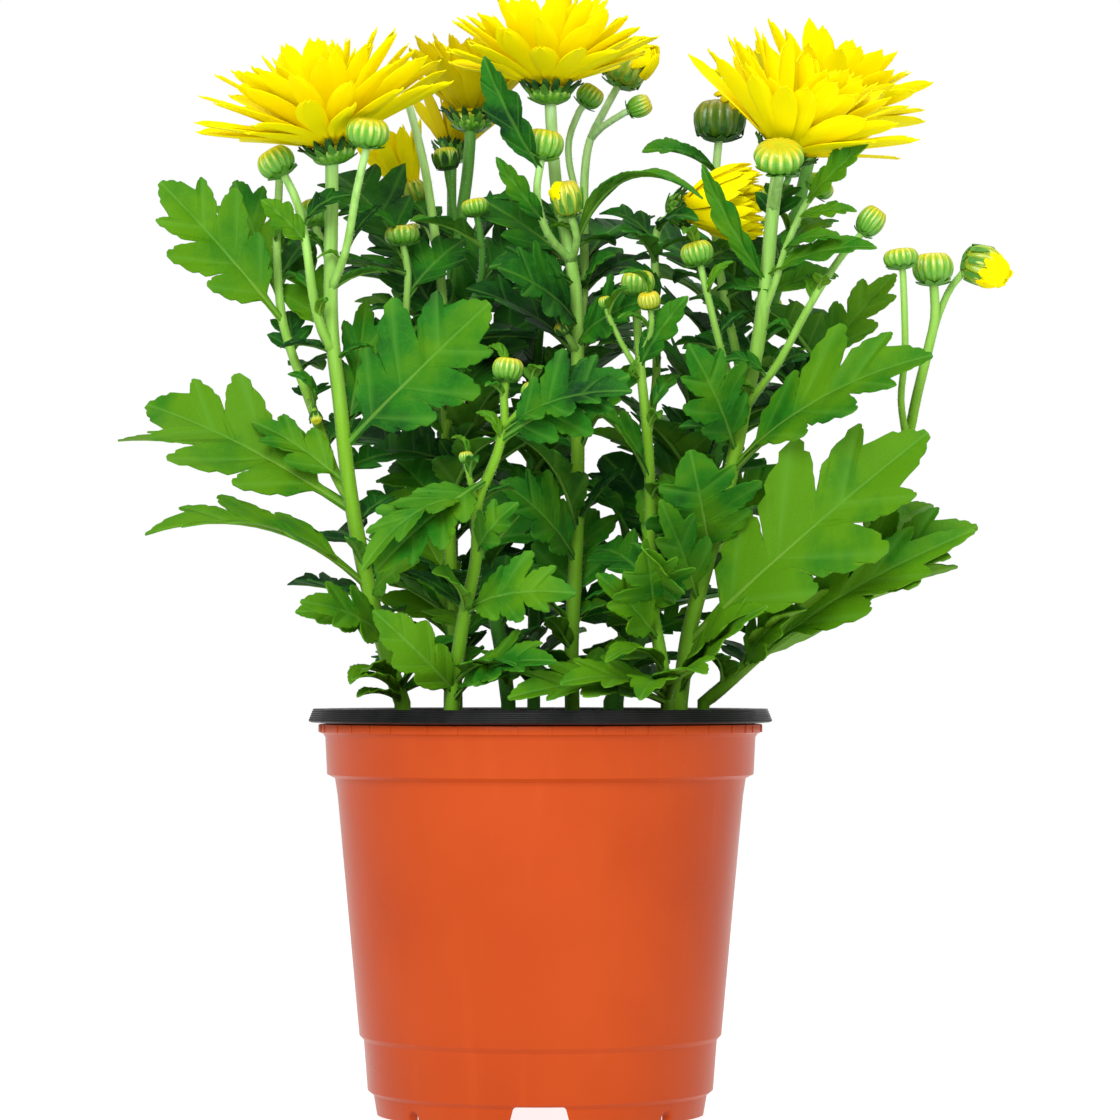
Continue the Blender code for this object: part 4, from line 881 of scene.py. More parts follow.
# Leaves that hang over the rim or stand before the others at the front, written in the same way.
FREE_LEAVES = {
    "left": [
        ("main", 640, (300, 602, -50), 9, (0, -0.9, 0.4), "mid", 4),
        ("main", 696, (352, 680, -46), 4, (-0.2, -0.7, 0.7), "lance", 3),
        ("main", 702, (357, 697, -40), 3.4, (-0.2, -0.6, 0.8), "lance", 2),
        ("main", 596, (420, 560, -44), 7, (0.1, -0.9, 0.4), "mid", 2),
    ],
    "front": [
        ("main", 480, (376, 572, -66), 12, (-0.2, -0.9, 0.45), "big", 3),
        ("main", 440, (630, 376, -66), 13, (0.1, -0.95, 0.35), "big", 3),
        ("main", 700, (556, 662, -64), 10, (0.1, -0.75, 0.65), "big", 5),
    ],
    "centre": [
        ("main", 694, (474, 686, -60), 10, (0, -0.6, 0.8), "big", 6),
        ("main", 325, (498, 268, -34), 12, (-0.1, -0.9, 0.45), "big", 3),
        ("main", 345, (650, 300, -30), 10, (0.1, -0.9, 0.45), "big", 3),
    ],
    "middle_right": [
        ("main", 618, (646, 549, -54), 12, (0, -0.93, 0.35), "big", 1),
        ("main", 702, (508, 699, -63), 10, (0, -0.65, 0.75), "big", 5),
        ("main", 640, (596, 574, -50), 8, (-0.1, -0.9, 0.4), "mid", 2),
        ("main", 697, (560, 684, -66), 9, (0, -0.7, 0.7), "mid", 4),
        ("main", 700, (706, 674, -62), 9, (0.1, -0.75, 0.65), "mid", 4),
    ],
    "right": [
        ("main", 692, (768, 606, -52), 8, (0.1, -0.85, 0.5), "lance", 4),
        ("main", 452, (688, 344, -40), 11, (-0.1, -0.9, 0.45), "big", 3),
        ("main", 600, (660, 500, -46), 9, (-0.1, -0.9, 0.4), "mid", 2),
    ],
    "far_right": [
        ("main", 668, (800, 606, -22), 8, (0.1, -0.85, 0.5), "mid", 3),
        ("main", 655, (976, 530, -34), 11, (0.1, -0.88, 0.5), "mid", 5),
    ],
}
# One side of each blade as marks, by turns a hollow and a lobe's tip: (share of the way to the leaf's
# tip, share of the half-width). The sides of a lobe bulge and carry teeth.
MARKS = {
    "big": [(0.17, 0.09), (0.42, 0.76), (0.40, 0.25), (0.68, 1.0), (0.63, 0.30), (0.86, 0.64),
            (0.83, 0.38), (1, 0)],
    "mid": [(0.18, 0.11), (0.50, 0.94), (0.49, 0.28), (0.79, 0.74), (0.77, 0.38), (1, 0)],
    "lance": [(0.12, 0.24), (0.38, 0.80), (0.45, 0.58), (0.64, 0.96), (0.70, 0.60), (0.84, 0.56),
              (0.87, 0.42), (1, 0)],
}
# Widths and lengths as shares of the half-width: the winged petiole, and how long a blade is for its width.
FOOT_WIDTH = {"big": 0.055, "mid": 0.08, "lance": 0.14}
LONG_FOR_WIDE = {"big": 2.4, "mid": 2.6, "lance": 5.0}
LOWER_SIDE = (0.0, 0.03, 0.07, 0.12, 0.16, 0.11, 0.15, 0.13, 0.07, 0.09, 0.0)
UPPER_SIDE = (0.0, 0.08, 0.11, 0.07, 0.12, 0.11, 0.10, 0.06, 0.05, 0.02, 0.0)
SIDE_SHIFT = 0.03
COLUMNS = {"big": (0.06, 0.28, 0.52, 0.78, 1.0), "mid": (0.08, 0.36, 0.70, 1.0), "lance": (0.2, 0.6, 1.0)}
PLAIN_COLUMNS = {"big": (0.4, 1.0), "mid": (0.4, 1.0), "lance": (1.0,)}
PLAIN_STEPS = (4, 7, 10)
LANCE_BULGE = 0.7
VEIN_LEAN = 0.30
LEAF_FOLD = 0.26
LEAF_WAVE = 0.08
QUILTING = 0.6
BLADE = 0.42
RIB_SIDES = 6
RIB_RINGS = 15
PLAIN_RIB_RINGS = 6
# How far a leaf may stand from the coarse leaf of the solids, judged on every seventh point.
WATCHED_STEP = 7
NEAR_ENOUGH = 0.5
MOST_AWAY = 2.0
TURNS = (0, 6, -6, 12, -12, 18, -18, 26, -26, 34, -34)
LIFTS = (0, 6, -6, 12, -12, 20)
GOLDEN_ANGLE = math.radians(137.5)
# Leaves by rule up a main stalk: first row, count, spacing, heading, reach, half-width, slope.
RULED_LEAVES = {
    "left_inner": (590, 3, 80, 2.6, 40, 13, 0.9),
    "second": (630, 3, 84, 0.4, 40, 14, 0.9),
    "centre": (620, 3, 84, 1.2, 40, 14, 0.9),
    "middle_right": (560, 2, 80, 0.9, 36, 12, 0.9),
    "back_bloom": (600, 3, 84, 0.8, 42, 14, 0.8),
    "back_left": (620, 5, 74, 2.4, 46, 16, 0.6),
    "back_middle": (620, 4, 74, 1.2, 44, 16, 0.6),
    "back_right": (620, 5, 74, 0.2, 46, 16, 0.6),
}
CELL = 2.2
# The space that the leaves keep to, from the pot's axis and from the floor.
FOLIAGE_MIDDLE = 3
FOLIAGE_HALF_WIDTH = 76
FOLIAGE_BACK = 64
FOLIAGE_TOP = 280
WIDE_FOR_LONG = {"mid": 0.36, "lance": 0.19, "big": 0.40}
# Small leaves that are paler than the rest: the shortest, and those low at the front.
PALE_LENGTH = 13
PALE_FOOT = 136
PALER = 0.22


def edge_of(outline, plain):
    """The edge of one side of a leaf, from its foot to its tip, as (along, out, place between side veins).

    A side vein runs to the tip of each lobe, where the place is a whole number. A plain leaf has fewer teeth.
    """
    marks = MARKS[outline]
    stretch = LONG_FOR_WIDE[outline]
    edge = [(0, FOOT_WIDTH[outline], 0.5), (marks[0][0] / 2, FOOT_WIDTH[outline], 0.5), (*marks[0], 0.5)]
    for number, ((along, out), (end_along, end_out)) in enumerate(zip(marks, marks[1:])):
        bulges = UPPER_SIDE if number % 2 else LOWER_SIDE
        for k in PLAIN_STEPS if plain else range(1, len(bulges)):
            share = k / (len(bulges) - 1)
            bulge = bulges[k] * (LANCE_BULGE if outline == "lance" else 1)
            edge.append((along + (end_along - along) * share - bulge * (end_out - out) / stretch,
                         out + (end_out - out) * share + bulge * abs(end_along - along) * stretch,
                         (number + 1 + share) / 2))
    return edge


def flat_leaf(outline, plain=False):
    """A flat leaf from a grid, as (points, faces). A point is (along, out, place between side veins).

    Each row of the grid runs from the midrib out to the edge, leaning forward as the side veins do.
    """
    edge = edge_of(outline, plain)
    roots = [0.0]
    for (last_along, last_out, _), (along, out, _) in zip(edge, edge[1:]):
        root = max(roots[-1], along - VEIN_LEAN * out)
        if out > last_out:
            share = last_out / out
            root = max(root, (last_along - along * share) / (1 - share))
        roots.append(min(root, along))
    columns = PLAIN_COLUMNS[outline] if plain else COLUMNS[outline]
    bpy.ops.mesh.primitive_grid_add(x_subdivisions=len(edge) - 1, y_subdivisions=2 * len(columns), size=2)
    faces = taken_apart(bpy.context.object)[1]
    points = []
    for column in range(-len(columns), len(columns) + 1):
        share = 0 if column == 0 else columns[abs(column) - 1]
        for root, (along, out, place) in zip(roots, edge):
            shift = SIDE_SHIFT * math.sin(math.pi * along) * share if column < 0 else 0
            points.append((root + (along - root) * share + shift,
                           out * share * (1 if column > 0 else -1), place))
    return points, faces


def leaf_frame(base, tip, facing):
    along = (tip - base).normalized()
    normal = (Vector(facing) - along * Vector(facing).dot(along)).normalized()
    return normal, normal.cross(along)


def arched(base, tip, normal, arch, share):
    """A point on the arched rib of a leaf, at a share of the way to its tip."""
    crown = (base + tip) / 2 + normal * 2 * arch * MM
    return base * (1 - share) ** 2 + crown * 2 * share * (1 - share) + tip * share ** 2


def bend_leaf(plan, base, tip, half_width, facing, arch, chance=None):
    """The points of a leaf bent along an arched rib. With chance, its blade is quilted and curls unevenly."""
    normal, aside = leaf_frame(base, tip, facing)
    curl = [chance.uniform(-0.07, 0.07) for _ in range(4)] if chance else (0, 0, 0, 0)
    points = []
    for share, out, place in plan:
        rib = arched(base, tip, normal, arch, share)
        lift = (LEAF_FOLD + LEAF_WAVE * math.sin(share * 9 + (2 if out > 0 else 0))) * abs(out)
        lift += curl[0 if out > 0 else 1] * math.sin(share * 14 + curl[2] * 30) * abs(out)
        lift += curl[3] * out * abs(out)
        rise = QUILTING * MM * math.sin(math.pi * place) ** 2 * min(1, 4 * abs(out)) if chance else 0
        points.append(rib + (aside * out + normal * lift) * half_width * MM + normal * rise)
    return points


def leaf_choices(base, tip):
    """Places for the tip, from the drawn one outwards: turned about the upright, and lifted."""
    reach = tip - base
    for lift in LIFTS:
        for turn in TURNS:
            slope = math.atan2(reach.z, math.hypot(reach.x, reach.y)) + math.radians(lift)
            heading = math.atan2(reach.y, reach.x) + math.radians(turn)
            flat = reach.length * math.cos(slope)
            yield base + Vector((flat * math.cos(heading), flat * math.sin(heading),
                                 reach.length * math.sin(slope)))


def ruled_leaves(name):
    first, count, spacing, heading, reach, half_width, slope = RULED_LEAVES[name]
    at_back = name.startswith("back_") and name != "back_bloom"
    for k in range(count):
        turn = heading + GOLDEN_ANGLE * k
        away = Vector((math.cos(turn), abs(math.sin(turn)) + 0.3 if at_back else math.sin(turn), slope))
        base = at_row(COARSE_PATHS[name]["main"], first - k * spacing)
        tip = base + away.normalized() * reach * (1 - 0.07 * k) * MM
        outline = "big" if at_back and k == 0 else "mid"
        yield base, tip, half_width * (1 - 0.08 * k), (0, 0.15 if at_back else -0.3, 1), outline, 5


def lie_of(tree):
    """The attribute lie of a piece's points: its socket and its three parts."""
    lie = add_node(tree, "ShaderNodeAttribute", attribute_name="lie").outputs["Vector"]
    return lie, add_node(tree, "ShaderNodeSeparateXYZ", [("Vector", lie)]).outputs


def leaf_finish(name, light, middle, dark, vein, roughness):
    """Green that runs from dark inside, deepened with painted shade, to light outside, with side veins, net
    veins and a midrib.
    """
    finish, tree, shader = new_finish(name, roughness, 0.12)
    _, parts = lie_of(tree)
    patchy = stretched_noise(tree, EVEN, 60, 4)
    tint = add_node(tree, "ShaderNodeMath", [(0, parts["Z"]), (1, patchy)], operation="ADD")
    body = ramp_of(tree, tint.outputs[0], [(0.48, dark), (0.72, middle), (0.98, light)])
    wave = add_node(tree, "ShaderNodeMath", [(0, parts["X"])], operation="PINGPONG")
    wave.inputs[1].default_value = 0.5
    side_vein = ramp_of(tree, wave.outputs[0], [(0.0, grey(0.7)), (0.022, grey(0.4)), (0.06, grey(0))])
    rib = ramp_of(tree, parts["Y"], [(0.0, grey(1)), (0.035, grey(0.85)), (0.075, grey(0))])
    place = tree.nodes.new("ShaderNodeTexCoord")
    net = add_node(tree, "ShaderNodeTexVoronoi", [("Vector", place.outputs["Object"])],
                   feature="DISTANCE_TO_EDGE", Scale=380.0)
    net_vein = ramp_of(tree, net.outputs["Distance"], [(0.0, grey(0.25)), (0.07, grey(0))])
    veins = mixed(tree, 1.0, mixed(tree, 1.0, side_vein, net_vein, "LIGHTEN"), rib, "LIGHTEN")
    softened = mixed(tree, 1.0, veins, grey(0.38), "MULTIPLY")
    tree.links.new(mixed(tree, softened, body, vein), shader.inputs["Base Color"])
    bumped(tree, shader, mixed(tree, 1.0, grey(1), veins, "SUBTRACT"), 0.45, 0.35)
    return finish


def thicken(made, thickness):
    """Gives thin faces their thickness, with the second finish on the far side."""
    thick = made.modifiers.new("Blade", "SOLIDIFY")
    thick.thickness = thickness * MM
    thick.offset = 0
    thick.material_offset = 1
    apply_all(made)


def lay_leaves(name, leaves):
    """One piece from the leaves of a stem: closed blades, with a petiole and midrib under each."""
    points, faces, lies = [], [], []
    rib_points, rib_faces, rib_lies = [], [], []
    for plan, shape, half_width, tint, rib in leaves:
        faces += [tuple(len(points) + corner for corner in face) for face in plan[1]]
        points += shape
        lies += [(place, abs(out) * half_width * 0.1, tint) for _, out, place in plan[0]]
        first = len(rib_points)
        last = first + (len(rib) - 1) * RIB_SIDES
        for centre, radius, normal, aside in rib:
            for k in range(RIB_SIDES):
                turn = math.tau * k / RIB_SIDES
                rib_points.append(centre + (aside * math.cos(turn) + normal * math.sin(turn)) * radius)
                rib_lies.append((0, 0, tint))
        for ring in range(first, last, RIB_SIDES):
            for k in range(RIB_SIDES):
                a, b = ring + k, ring + (k + 1) % RIB_SIDES
                rib_faces.append((a, b, b + RIB_SIDES, a + RIB_SIDES))
        rib_faces.append(tuple(first + k for k in reversed(range(RIB_SIDES))))
        rib_faces.append(tuple(last + k for k in range(RIB_SIDES)))
    blades = piece_of(name, points, faces, [leaf_top, leaf_under], lies)
    merge = blades.modifiers.new("Tip", "WELD")
    merge.merge_threshold = 0.02 * MM
    thicken(blades, BLADE)
    ribs = piece_of(name, rib_points, rib_faces, [leaf_under], rib_lies)
    face_out(ribs)
    select_only(blades, ribs)
    bpy.ops.object.join()
    blades.name = name
    bpy.ops.object.shade_smooth_by_angle(angle=math.radians(60))
    return blades


def rib_of(base, tip, half_width, facing, arch, count):
    """Rings of the petiole and midrib, from inside the stalk to near the tip, just under the blade."""
    normal, aside = leaf_frame(base, tip, facing)
    thick = min(1.15, 0.35 + half_width * 0.05)
    rings = []
    for k in range(count):
        share = 0.95 * k / (count - 1)
        radius = thick * (1 - share) ** 1.1 + 0.10
        rib = arched(base, tip, normal, arch, share)
        rings.append((rib - normal * (radius * 0.45) * MM, radius * MM, normal, aside))
    return rings


def cell_of(point):
    return tuple(math.floor(part / (CELL * MM)) for part in point)


PLANS = {outline: flat_leaf(outline) for outline in MARKS}
PLAIN_PLANS = {outline: flat_leaf(outline, True) for outline in MARKS}
# The dark end of each green is painted shade for leaves deep inside the plant.
leaf_top = leaf_finish("leaf_top", (0.085, 0.250, 0.003), (0.018, 0.160, 0.006),
                       (0.003, 0.045, 0.007), (0.13, 0.36, 0.04), 0.6)
leaf_under = leaf_finish("leaf_underside", (0.120, 0.285, 0.008), (0.050, 0.195, 0.010),
                         (0.007, 0.065, 0.009), (0.20, 0.40, 0.06), 0.7)
leaf_chance = random.Random(21)
solids = {}
for name in STALKS:
    node = bpy.data.objects[f"stem_{name}"]
    solids[name] = BVHTree.FromPolygons([vert.co for vert in node.data.vertices],
                                        [tuple(face.vertices) for face in node.data.polygons])


def drawn_leaves(table, name):
    """The leaves of a stem from a table: (foot, tip, half-width, facing, outline, arch)."""
    return [(at_row(COARSE_PATHS[name][branch], row), seen(*tip), *rest)
            for branch, row, tip, *rest in table.get(name, ())]


LAID = {}
for name in STALKS:
    jobs = drawn_leaves(LEAVES, name)
    drawn_count = len(jobs)
    if name in RULED_LEAVES:
        jobs += ruled_leaves(name)
    LAID[name] = []
    for number, (base, tip, half_width, facing, outline, arch) in enumerate(jobs):
        plan = PLANS[outline]
        watched = [point for point in plan[0] if abs(point[1]) > 0.3][::WATCHED_STEP]
        best = None
        drawn_tip = tip
        for choice in leaf_choices(base, tip):
            trial = bend_leaf(watched, base, choice, half_width, facing, arch)
            away = sum(solids[name].find_nearest(point)[3] for point in trial) / len(trial)
            if best is None or away < best[0]:
                best = (away, choice)
            if away < NEAR_ENOUGH * MM:
                break
        away, tip = best
        if away > MOST_AWAY * MM:
            if number >= drawn_count:
                continue
            tip = drawn_tip
        LAID[name].append((base, tip, half_width, facing, outline, arch))
    LAID[name] += drawn_leaves(FREE_LEAVES, name)

# Small leaves that the solids leave out: ones that fill the inside of the plant, dark with painted shade,
# and little pale ones at the joints of the stalks. Each is kept only where it stands clear of everything
# else.
corners, sides = [], []
for node in bpy.data.objects:
    if node.name.startswith(("stem_", "bloom_", "soil", "pot_liner")):
        sides += [tuple(len(corners) + corner for corner in face.vertices) for face in node.data.polygons]
        corners += [vert.co for vert in node.data.vertices]
cloud = BVHTree.FromPolygons(corners, sides)
FILLED = {name: [] for name in STALKS}
taken = set()
for name in STALKS:
    for base, tip, half_width, facing, outline, arch in LAID[name]:
        for point in bend_leaf(PLAIN_PLANS[outline][0], base, tip, half_width, facing, arch):
            taken.add(cell_of(point))


def try_leaf(low, high, front, reaches, slopes, clearance, outlines):
    """Lays one leaf at a drawn place if it stands clear of all else there."""
    name = leaf_chance.choice(list(STALKS))
    base = leaf_chance.choice(leaf_chance.choice(list(PATHS[name].values())))
    heading = leaf_chance.uniform(0, math.tau)
    reach = leaf_chance.uniform(*reaches)
    slope = leaf_chance.uniform(*slopes)
    outline = leaf_chance.choice(outlines)
    facing = (leaf_chance.uniform(-0.4, 0.4), leaf_chance.uniform(-0.8, 0.1), 1)
    arch = leaf_chance.uniform(1, 4)
    if not low * MM < base.z < high * MM or base.y - AXIS.y < front * MM:
        return False
    tip = base + Vector((math.cos(heading), math.sin(heading), slope)).normalized() * reach * MM
    if abs(tip.x - AXIS.x - FOLIAGE_MIDDLE * MM) > FOLIAGE_HALF_WIDTH * MM or tip.z > FOLIAGE_TOP * MM:
        return False
    if not front < (tip.y - AXIS.y) / MM < FOLIAGE_BACK:
        return False
    half_width = reach * WIDE_FOR_LONG[outline]
    plan = PLAIN_PLANS[outline]
    watched = [point for point in plan[0] if point[0] > 0.25]
    shape = bend_leaf(watched[::2], base, tip, half_width, facing, arch)
    if any(cell_of(point) in taken or cloud.find_nearest(point, clearance * MM)[0] for point in shape):
        return False
    FILLED[name].append((base, tip, half_width, facing, outline, arch))
    for point in bend_leaf(watched, base, tip, half_width, facing, arch):
        x, y, z = cell_of(point)
        taken.update((x + i, y + j, z + k) for i in (-1, 0, 1) for j in (-1, 0, 1) for k in (-1, 0, 1))
    return True


# How many, then the lowest and highest foot, the furthest to the front, reaches, slopes and clearance.
for wanted, tries, kind in (
        (100, 11000, (116, 150, -40, (18, 32), (0.1, 0.9), 0.9, ("mid", "big", "lance"))),
        (120, 12000, (118, 240, -4, (24, 40), (0.0, 1.3), 1.0, ("big", "mid"))),
        (150, 9000, (118, 250, -24, (12, 24), (0.0, 1.3), 0.9, ("mid", "mid", "lance"))),
        (70, 5000, (150, 246, -60, (6, 12), (0.3, 1.6), 0.35, ("lance", "lance", "mid")))):
    kept = 0
    for _ in range(tries):
        kept += try_leaf(*kind)
        if kept == wanted:
            break

# Leaves are lighter at the outside and low down, and darker inside the plant, where the tint is partly
# painted shade. A tint runs from 0, dark, to 1, light.
for name in STALKS:
    leaves = []
    for k, (base, tip, half_width, facing, outline, arch) in enumerate(LAID[name] + FILLED[name]):
        middle = (base + tip) / 2
        outer = abs(middle.x - AXIS.x) / 0.10 + max(0, 0.2 - middle.z) / 0.11
        tint = 0.12 + 0.34 * min(1, outer) + leaf_chance.uniform(-0.05, 0.05)
        plans, rings = PLANS, RIB_RINGS
        if k >= len(LAID[name]):
            pale = (tip - base).length < PALE_LENGTH * MM or (base.z < PALE_FOOT * MM and middle.y < AXIS.y)
            # Filling leaves take the darkest tints: painted shade for the inside of the plant.
            tint = leaf_chance.uniform(0.0, 0.20) + (PALER if pale else 0)
            plans, rings = PLAIN_PLANS, PLAIN_RIB_RINGS
        shape = bend_leaf(plans[outline][0], base, tip, half_width, facing, arch, leaf_chance)
        rib = rib_of(base, tip, half_width, facing, arch, rings)
        leaves.append((plans[outline], shape, half_width, tint, rib))
    if leaves:
        keep(lay_leaves(f"leaves_{name}", leaves), "leaf_green", f"stem_{name}")


# The buds and the green cups. A closed bud is a flattened ball of narrow overlapping bracts, green along
# the middle with pale shiny margins whose cream is partly a painted highlight, and yellow where the petals
# show at the top. Under each open flower the same bracts make a cup, dark at its rim with painted shade
# under the petals, and they spread at their tips.

BUDS = {
    "left": {"front": (12.0, 8.7), "side": (10.7, 8.7), "behind": (9.4, 8.4), "outer": (6.2, 5.2),
             "tiny": (3.6, 3.4)},
    "left_inner": {"main": (7.0, 6.4), "low": (10.0, 6.0)},
    "second": {"low": (7.9, 5.4), "behind": (7.6, 7.0)},
    "front": {"main": (8.7, 7.0), "right": (6.2, 5.3), "left": (4.0, 3.4)},
    "centre": {"hidden": (8.0, 7.0), "twin": (6.4, 7.4), "upright": (11.2, 9.0), "dark": (5.4, 3.8)},
    "middle_right": {"main": (9.5, 8.0), "right": (6.4, 5.3), "left": (3.8, 3.6)},
    "right": {"front": (14.0, 8.6), "inner": (8.7, 5.6), "outer": (7.6, 9.0), "left": (9.3, 7.3)},
    "back_bloom": {"low": (6.4, 6.2)},
    "far_right": {"main": (11.5, 9.5), "front": (9.8, 6.0)},
    "back_left": {"bud": (8.8, 7.4)},
    "back_middle": {"main": (9.5, 7.6), "bud": (8.4, 7.0)},
    "back_right": {"main": (10.2, 8.0), "bud": (8.8, 7.4), "second": (9.0, 7.6)},
}
CUPS = {
    "left": {"main": (6.6, 5.5, (-0.24, -0.08, 1))},
    "left_inner": {"half_open": (4.2, 5.0, (-0.45, 0.1, 1))},
    "second": {"main": (6.4, 6.0, (0.02, -0.05, 1))},
    "centre": {"main": (6.4, 5.5, (0.0, -0.05, 1)), "second": (5.0, 5.5, (0.45, 0, 1)),
               "opening": (3.6, 4.5, (-0.2, -0.25, 1))},
    "middle_right": {"cup": (5.0, 6.0, (1, -0.15, 0.1))},
    "right": {"main": (6.6, 5.5, (0.45, -0.12, 1)), "back": (6.4, 7.5, (0.0, 0, 1))},
    "back_bloom": {"main": (6.4, 5.5, (0.27, 0.05, 1))},
    "far_right": {"outer": (4.6, 5.0, (1, -0.1, -0.25))},
    "back_left": {"main": (4.6, 5.0, (0.1, 0.35, 1))},
}
BUD_SEGMENTS = 60
BUD_RINGS = 18
BUD_BRACTS = 15
# How much of the petals' yellow shows, from 0 to 1.
BUD_YELLOW = 0.3
OPENING_YELLOW = 0.2
# Rings of bracts: (count, radius, height, elevation, length, width), with the elevation in degrees and the
# rest as shares of the width and height of the bud, or of the radius and height of the cup.
BUD_FOOT = ((8, 0.14, -0.50, 12, 0.34, 0.22),)
# The drawn-up ring is dark: painted shade over buds that lie in shade.
DRAWN_UP = ((9, 0.40, -0.38, 70, 0.62, 0.26),)
CUP_FOOT = ((9, 0.34, -0.92, 22, 0.75, 0.36), (12, 0.66, -0.66, 42, 0.82, 0.36))
# The cup's rim takes the dark bracts: painted shade under the petals.
CUP_RIM = ((14, 0.86, -0.36, 38, 0.80, 0.34), (14, 0.92, -0.10, 22, 0.62, 0.30))
BRACT_OUTLINE = ((0.0, 0.34), (0.25, 0.50), (0.5, 0.50), (0.75, 0.36), (0.92, 0.16))
# Buds that show more yellow, and buds that lie in shade, with dark bracts drawn up over them as painted
# shade.
YELLOW_BUDS = {("middle_right", "right")}
BUDS_IN_PAINTED_SHADE = {("centre", "dark"), ("second", "behind"), ("back_middle", "bud"), ("left", "tiny")}
# Buds that have begun to open: width, height and how far up from the stalk's end their middle stands.
OPENING_CUPS = {("centre", "second"): (12.8, 12.0, 4.4), ("centre", "opening"): (8.6, 10.8, 4.6),
                ("right", "back"): (15.2, 12.6, 3.6), ("far_right", "outer"): (11.6, 11.2, 2.8),
                ("left_inner", "half_open"): (9.4, 8.0, -1.0)}


def frame_of(axis):
    return Vector((0, 0, 1)).rotation_difference(Vector(axis).normalized()).to_matrix()


def round_bud():
    """A bud one across and one high, with ribs round it and a dimple on top: (points, faces, lies)."""
    bpy.ops.mesh.primitive_uv_sphere_add(segments=BUD_SEGMENTS, ring_count=BUD_RINGS, radius=0.5)
    ball, faces = taken_apart(bpy.context.object)
    points, lies = [], []
    for corner in ball:
        turn = math.atan2(corner.y, corner.x)
        up = corner.z / 0.5
        phase = turn / math.tau * BUD_BRACTS
        bulge = abs(math.sin(math.pi * phase))
        waist = math.sqrt(max(0, 1 - up * up))
        out = 0.5 * waist ** 0.72 * (0.90 + 0.10 * bulge ** 0.7)
        dimple = -0.10 * math.exp(-(waist / 0.35) ** 2) if up > 0 else 0.06 * math.exp(-(waist / 0.3) ** 2)
        points.append(Vector((out * math.cos(turn), out * math.sin(turn), 0.5 * up * 0.98 + dimple)))
        lies.append((0.5 - abs(phase % 1.0 - 0.5), (up + 1) / 2, 0))
    return points, faces, lies


def bract_shape():
    """A pointed bract, one long, as a closed leaf of a few faces: (points, faces)."""
    upper, lower = [], []
    for along, wide in BRACT_OUTLINE:
        for side in (-1, 0, 1):
            sag = 0.10 * along * along
            upper.append(Vector((along, side * wide * 0.5, sag + (0.05 if side == 0 else -0.03))))
            lower.append(Vector((along, side * wide * 0.5, sag - (0.05 if side == 0 else 0.05))))
    count = len(upper)
    points = upper + lower + [Vector((1.0, 0, 0.12))]
    faces = []
    rows = len(BRACT_OUTLINE)
    for row in range(rows - 1):
        for side in range(2):
            a = row * 3 + side
            faces.append((a, a + 3, a + 4, a + 1))
            faces.append((count + a, count + a + 1, count + a + 4, count + a + 3))
        a = row * 3
        faces.append((a, count + a, count + a + 3, a + 3))
        faces.append((a + 2, a + 5, count + a + 5, count + a + 2))
    for side in range(2):
        faces.append((side, side + 1, count + side + 1, count + side))
        end = (rows - 1) * 3 + side
        faces.append((end, 2 * count, end + 1))
        faces.append((count + end, count + end + 1, 2 * count))
    end = (rows - 1) * 3
    faces.append((end, count + end, 2 * count))
    faces.append((end + 2, 2 * count, count + end + 2))
    return points, faces


def bud_finish(name, shade):
    """Green bracts with pale margins, whose cream is partly a painted highlight on the bulging bracts. shade
    darkens the whole.
    """
    finish, tree, shader = new_finish(name, 0.28, 0.5)
    _, parts = lie_of(tree)
    noisy = stretched_noise(tree, EVEN, 180, 2)
    uneven = add_node(tree, "ShaderNodeMath", [(0, stretched_noise(tree, EVEN, 420, 2)), (2, parts["X"])],
                      operation="MULTIPLY_ADD")
    uneven.inputs[1].default_value = 0.36
    pale_margin_and_highlight = ramp_of(tree, uneven.outputs[0], [(0.40, grey(0)), (0.66, grey(1))])
    green = ramp_of(tree, parts["Y"], [(0.1, (0.08, 0.30, 0.02)), (0.6, (0.14, 0.42, 0.02)),
                                       (0.90, (0.55, 0.58, 0.02))])
    # The cream of the margins, brightest a little above the middle, is partly a painted highlight on the
    # bulges.
    pale = ramp_of(tree, parts["Y"], [(0.30, (0.12, 0.38, 0.02)), (0.48, (0.40, 0.56, 0.07)),
                                      (0.64, (0.72, 0.74, 0.20)), (0.80, (0.80, 0.70, 0.06)),
                                      (0.92, (0.88, 0.56, 0.01))])
    body = mixed(tree, pale_margin_and_highlight, green, pale)
    speckled = mixed(tree, ramp_of(tree, noisy, [(0.4, grey(0)), (0.8, grey(0.25))]), body,
                     (0.30, 0.45, 0.05))
    golden = mixed(tree, parts["Z"], speckled, (0.90, 0.60, 0.01))
    tree.links.new(mixed(tree, 1.0, golden, grey(shade), "MULTIPLY"), shader.inputs["Base Color"])
    return finish


def bract_finish(name, dark, light):
    return mottled(name, 0.6, 0.2, (EVEN, 260, 3), [(0.35, dark), (0.7, light)])[0]


BUD_SHAPE = round_bud()
BRACT_SHAPE = bract_shape()
bud_green = bud_finish("bud_bracts", 1.0)
bud_shaded = bud_finish("shaded_bud_bracts", 0.36)
# Deep green darkened with painted shade, for cup rims under the petals and for buds that lie in shade.
shade_dark_bracts = bract_finish("painted_shade_bracts", (0.010, 0.055, 0.008), (0.05, 0.17, 0.02))
bract_mid = bract_finish("bud_foot_bracts", (0.06, 0.22, 0.02), (0.13, 0.36, 0.04))
BUD_FINISHES = [bud_green, shade_dark_bracts, bract_mid, bud_shaded]
GREEN, DARK, MID, SHADED = range(len(BUD_FINISHES))
bud_chance = random.Random(31)


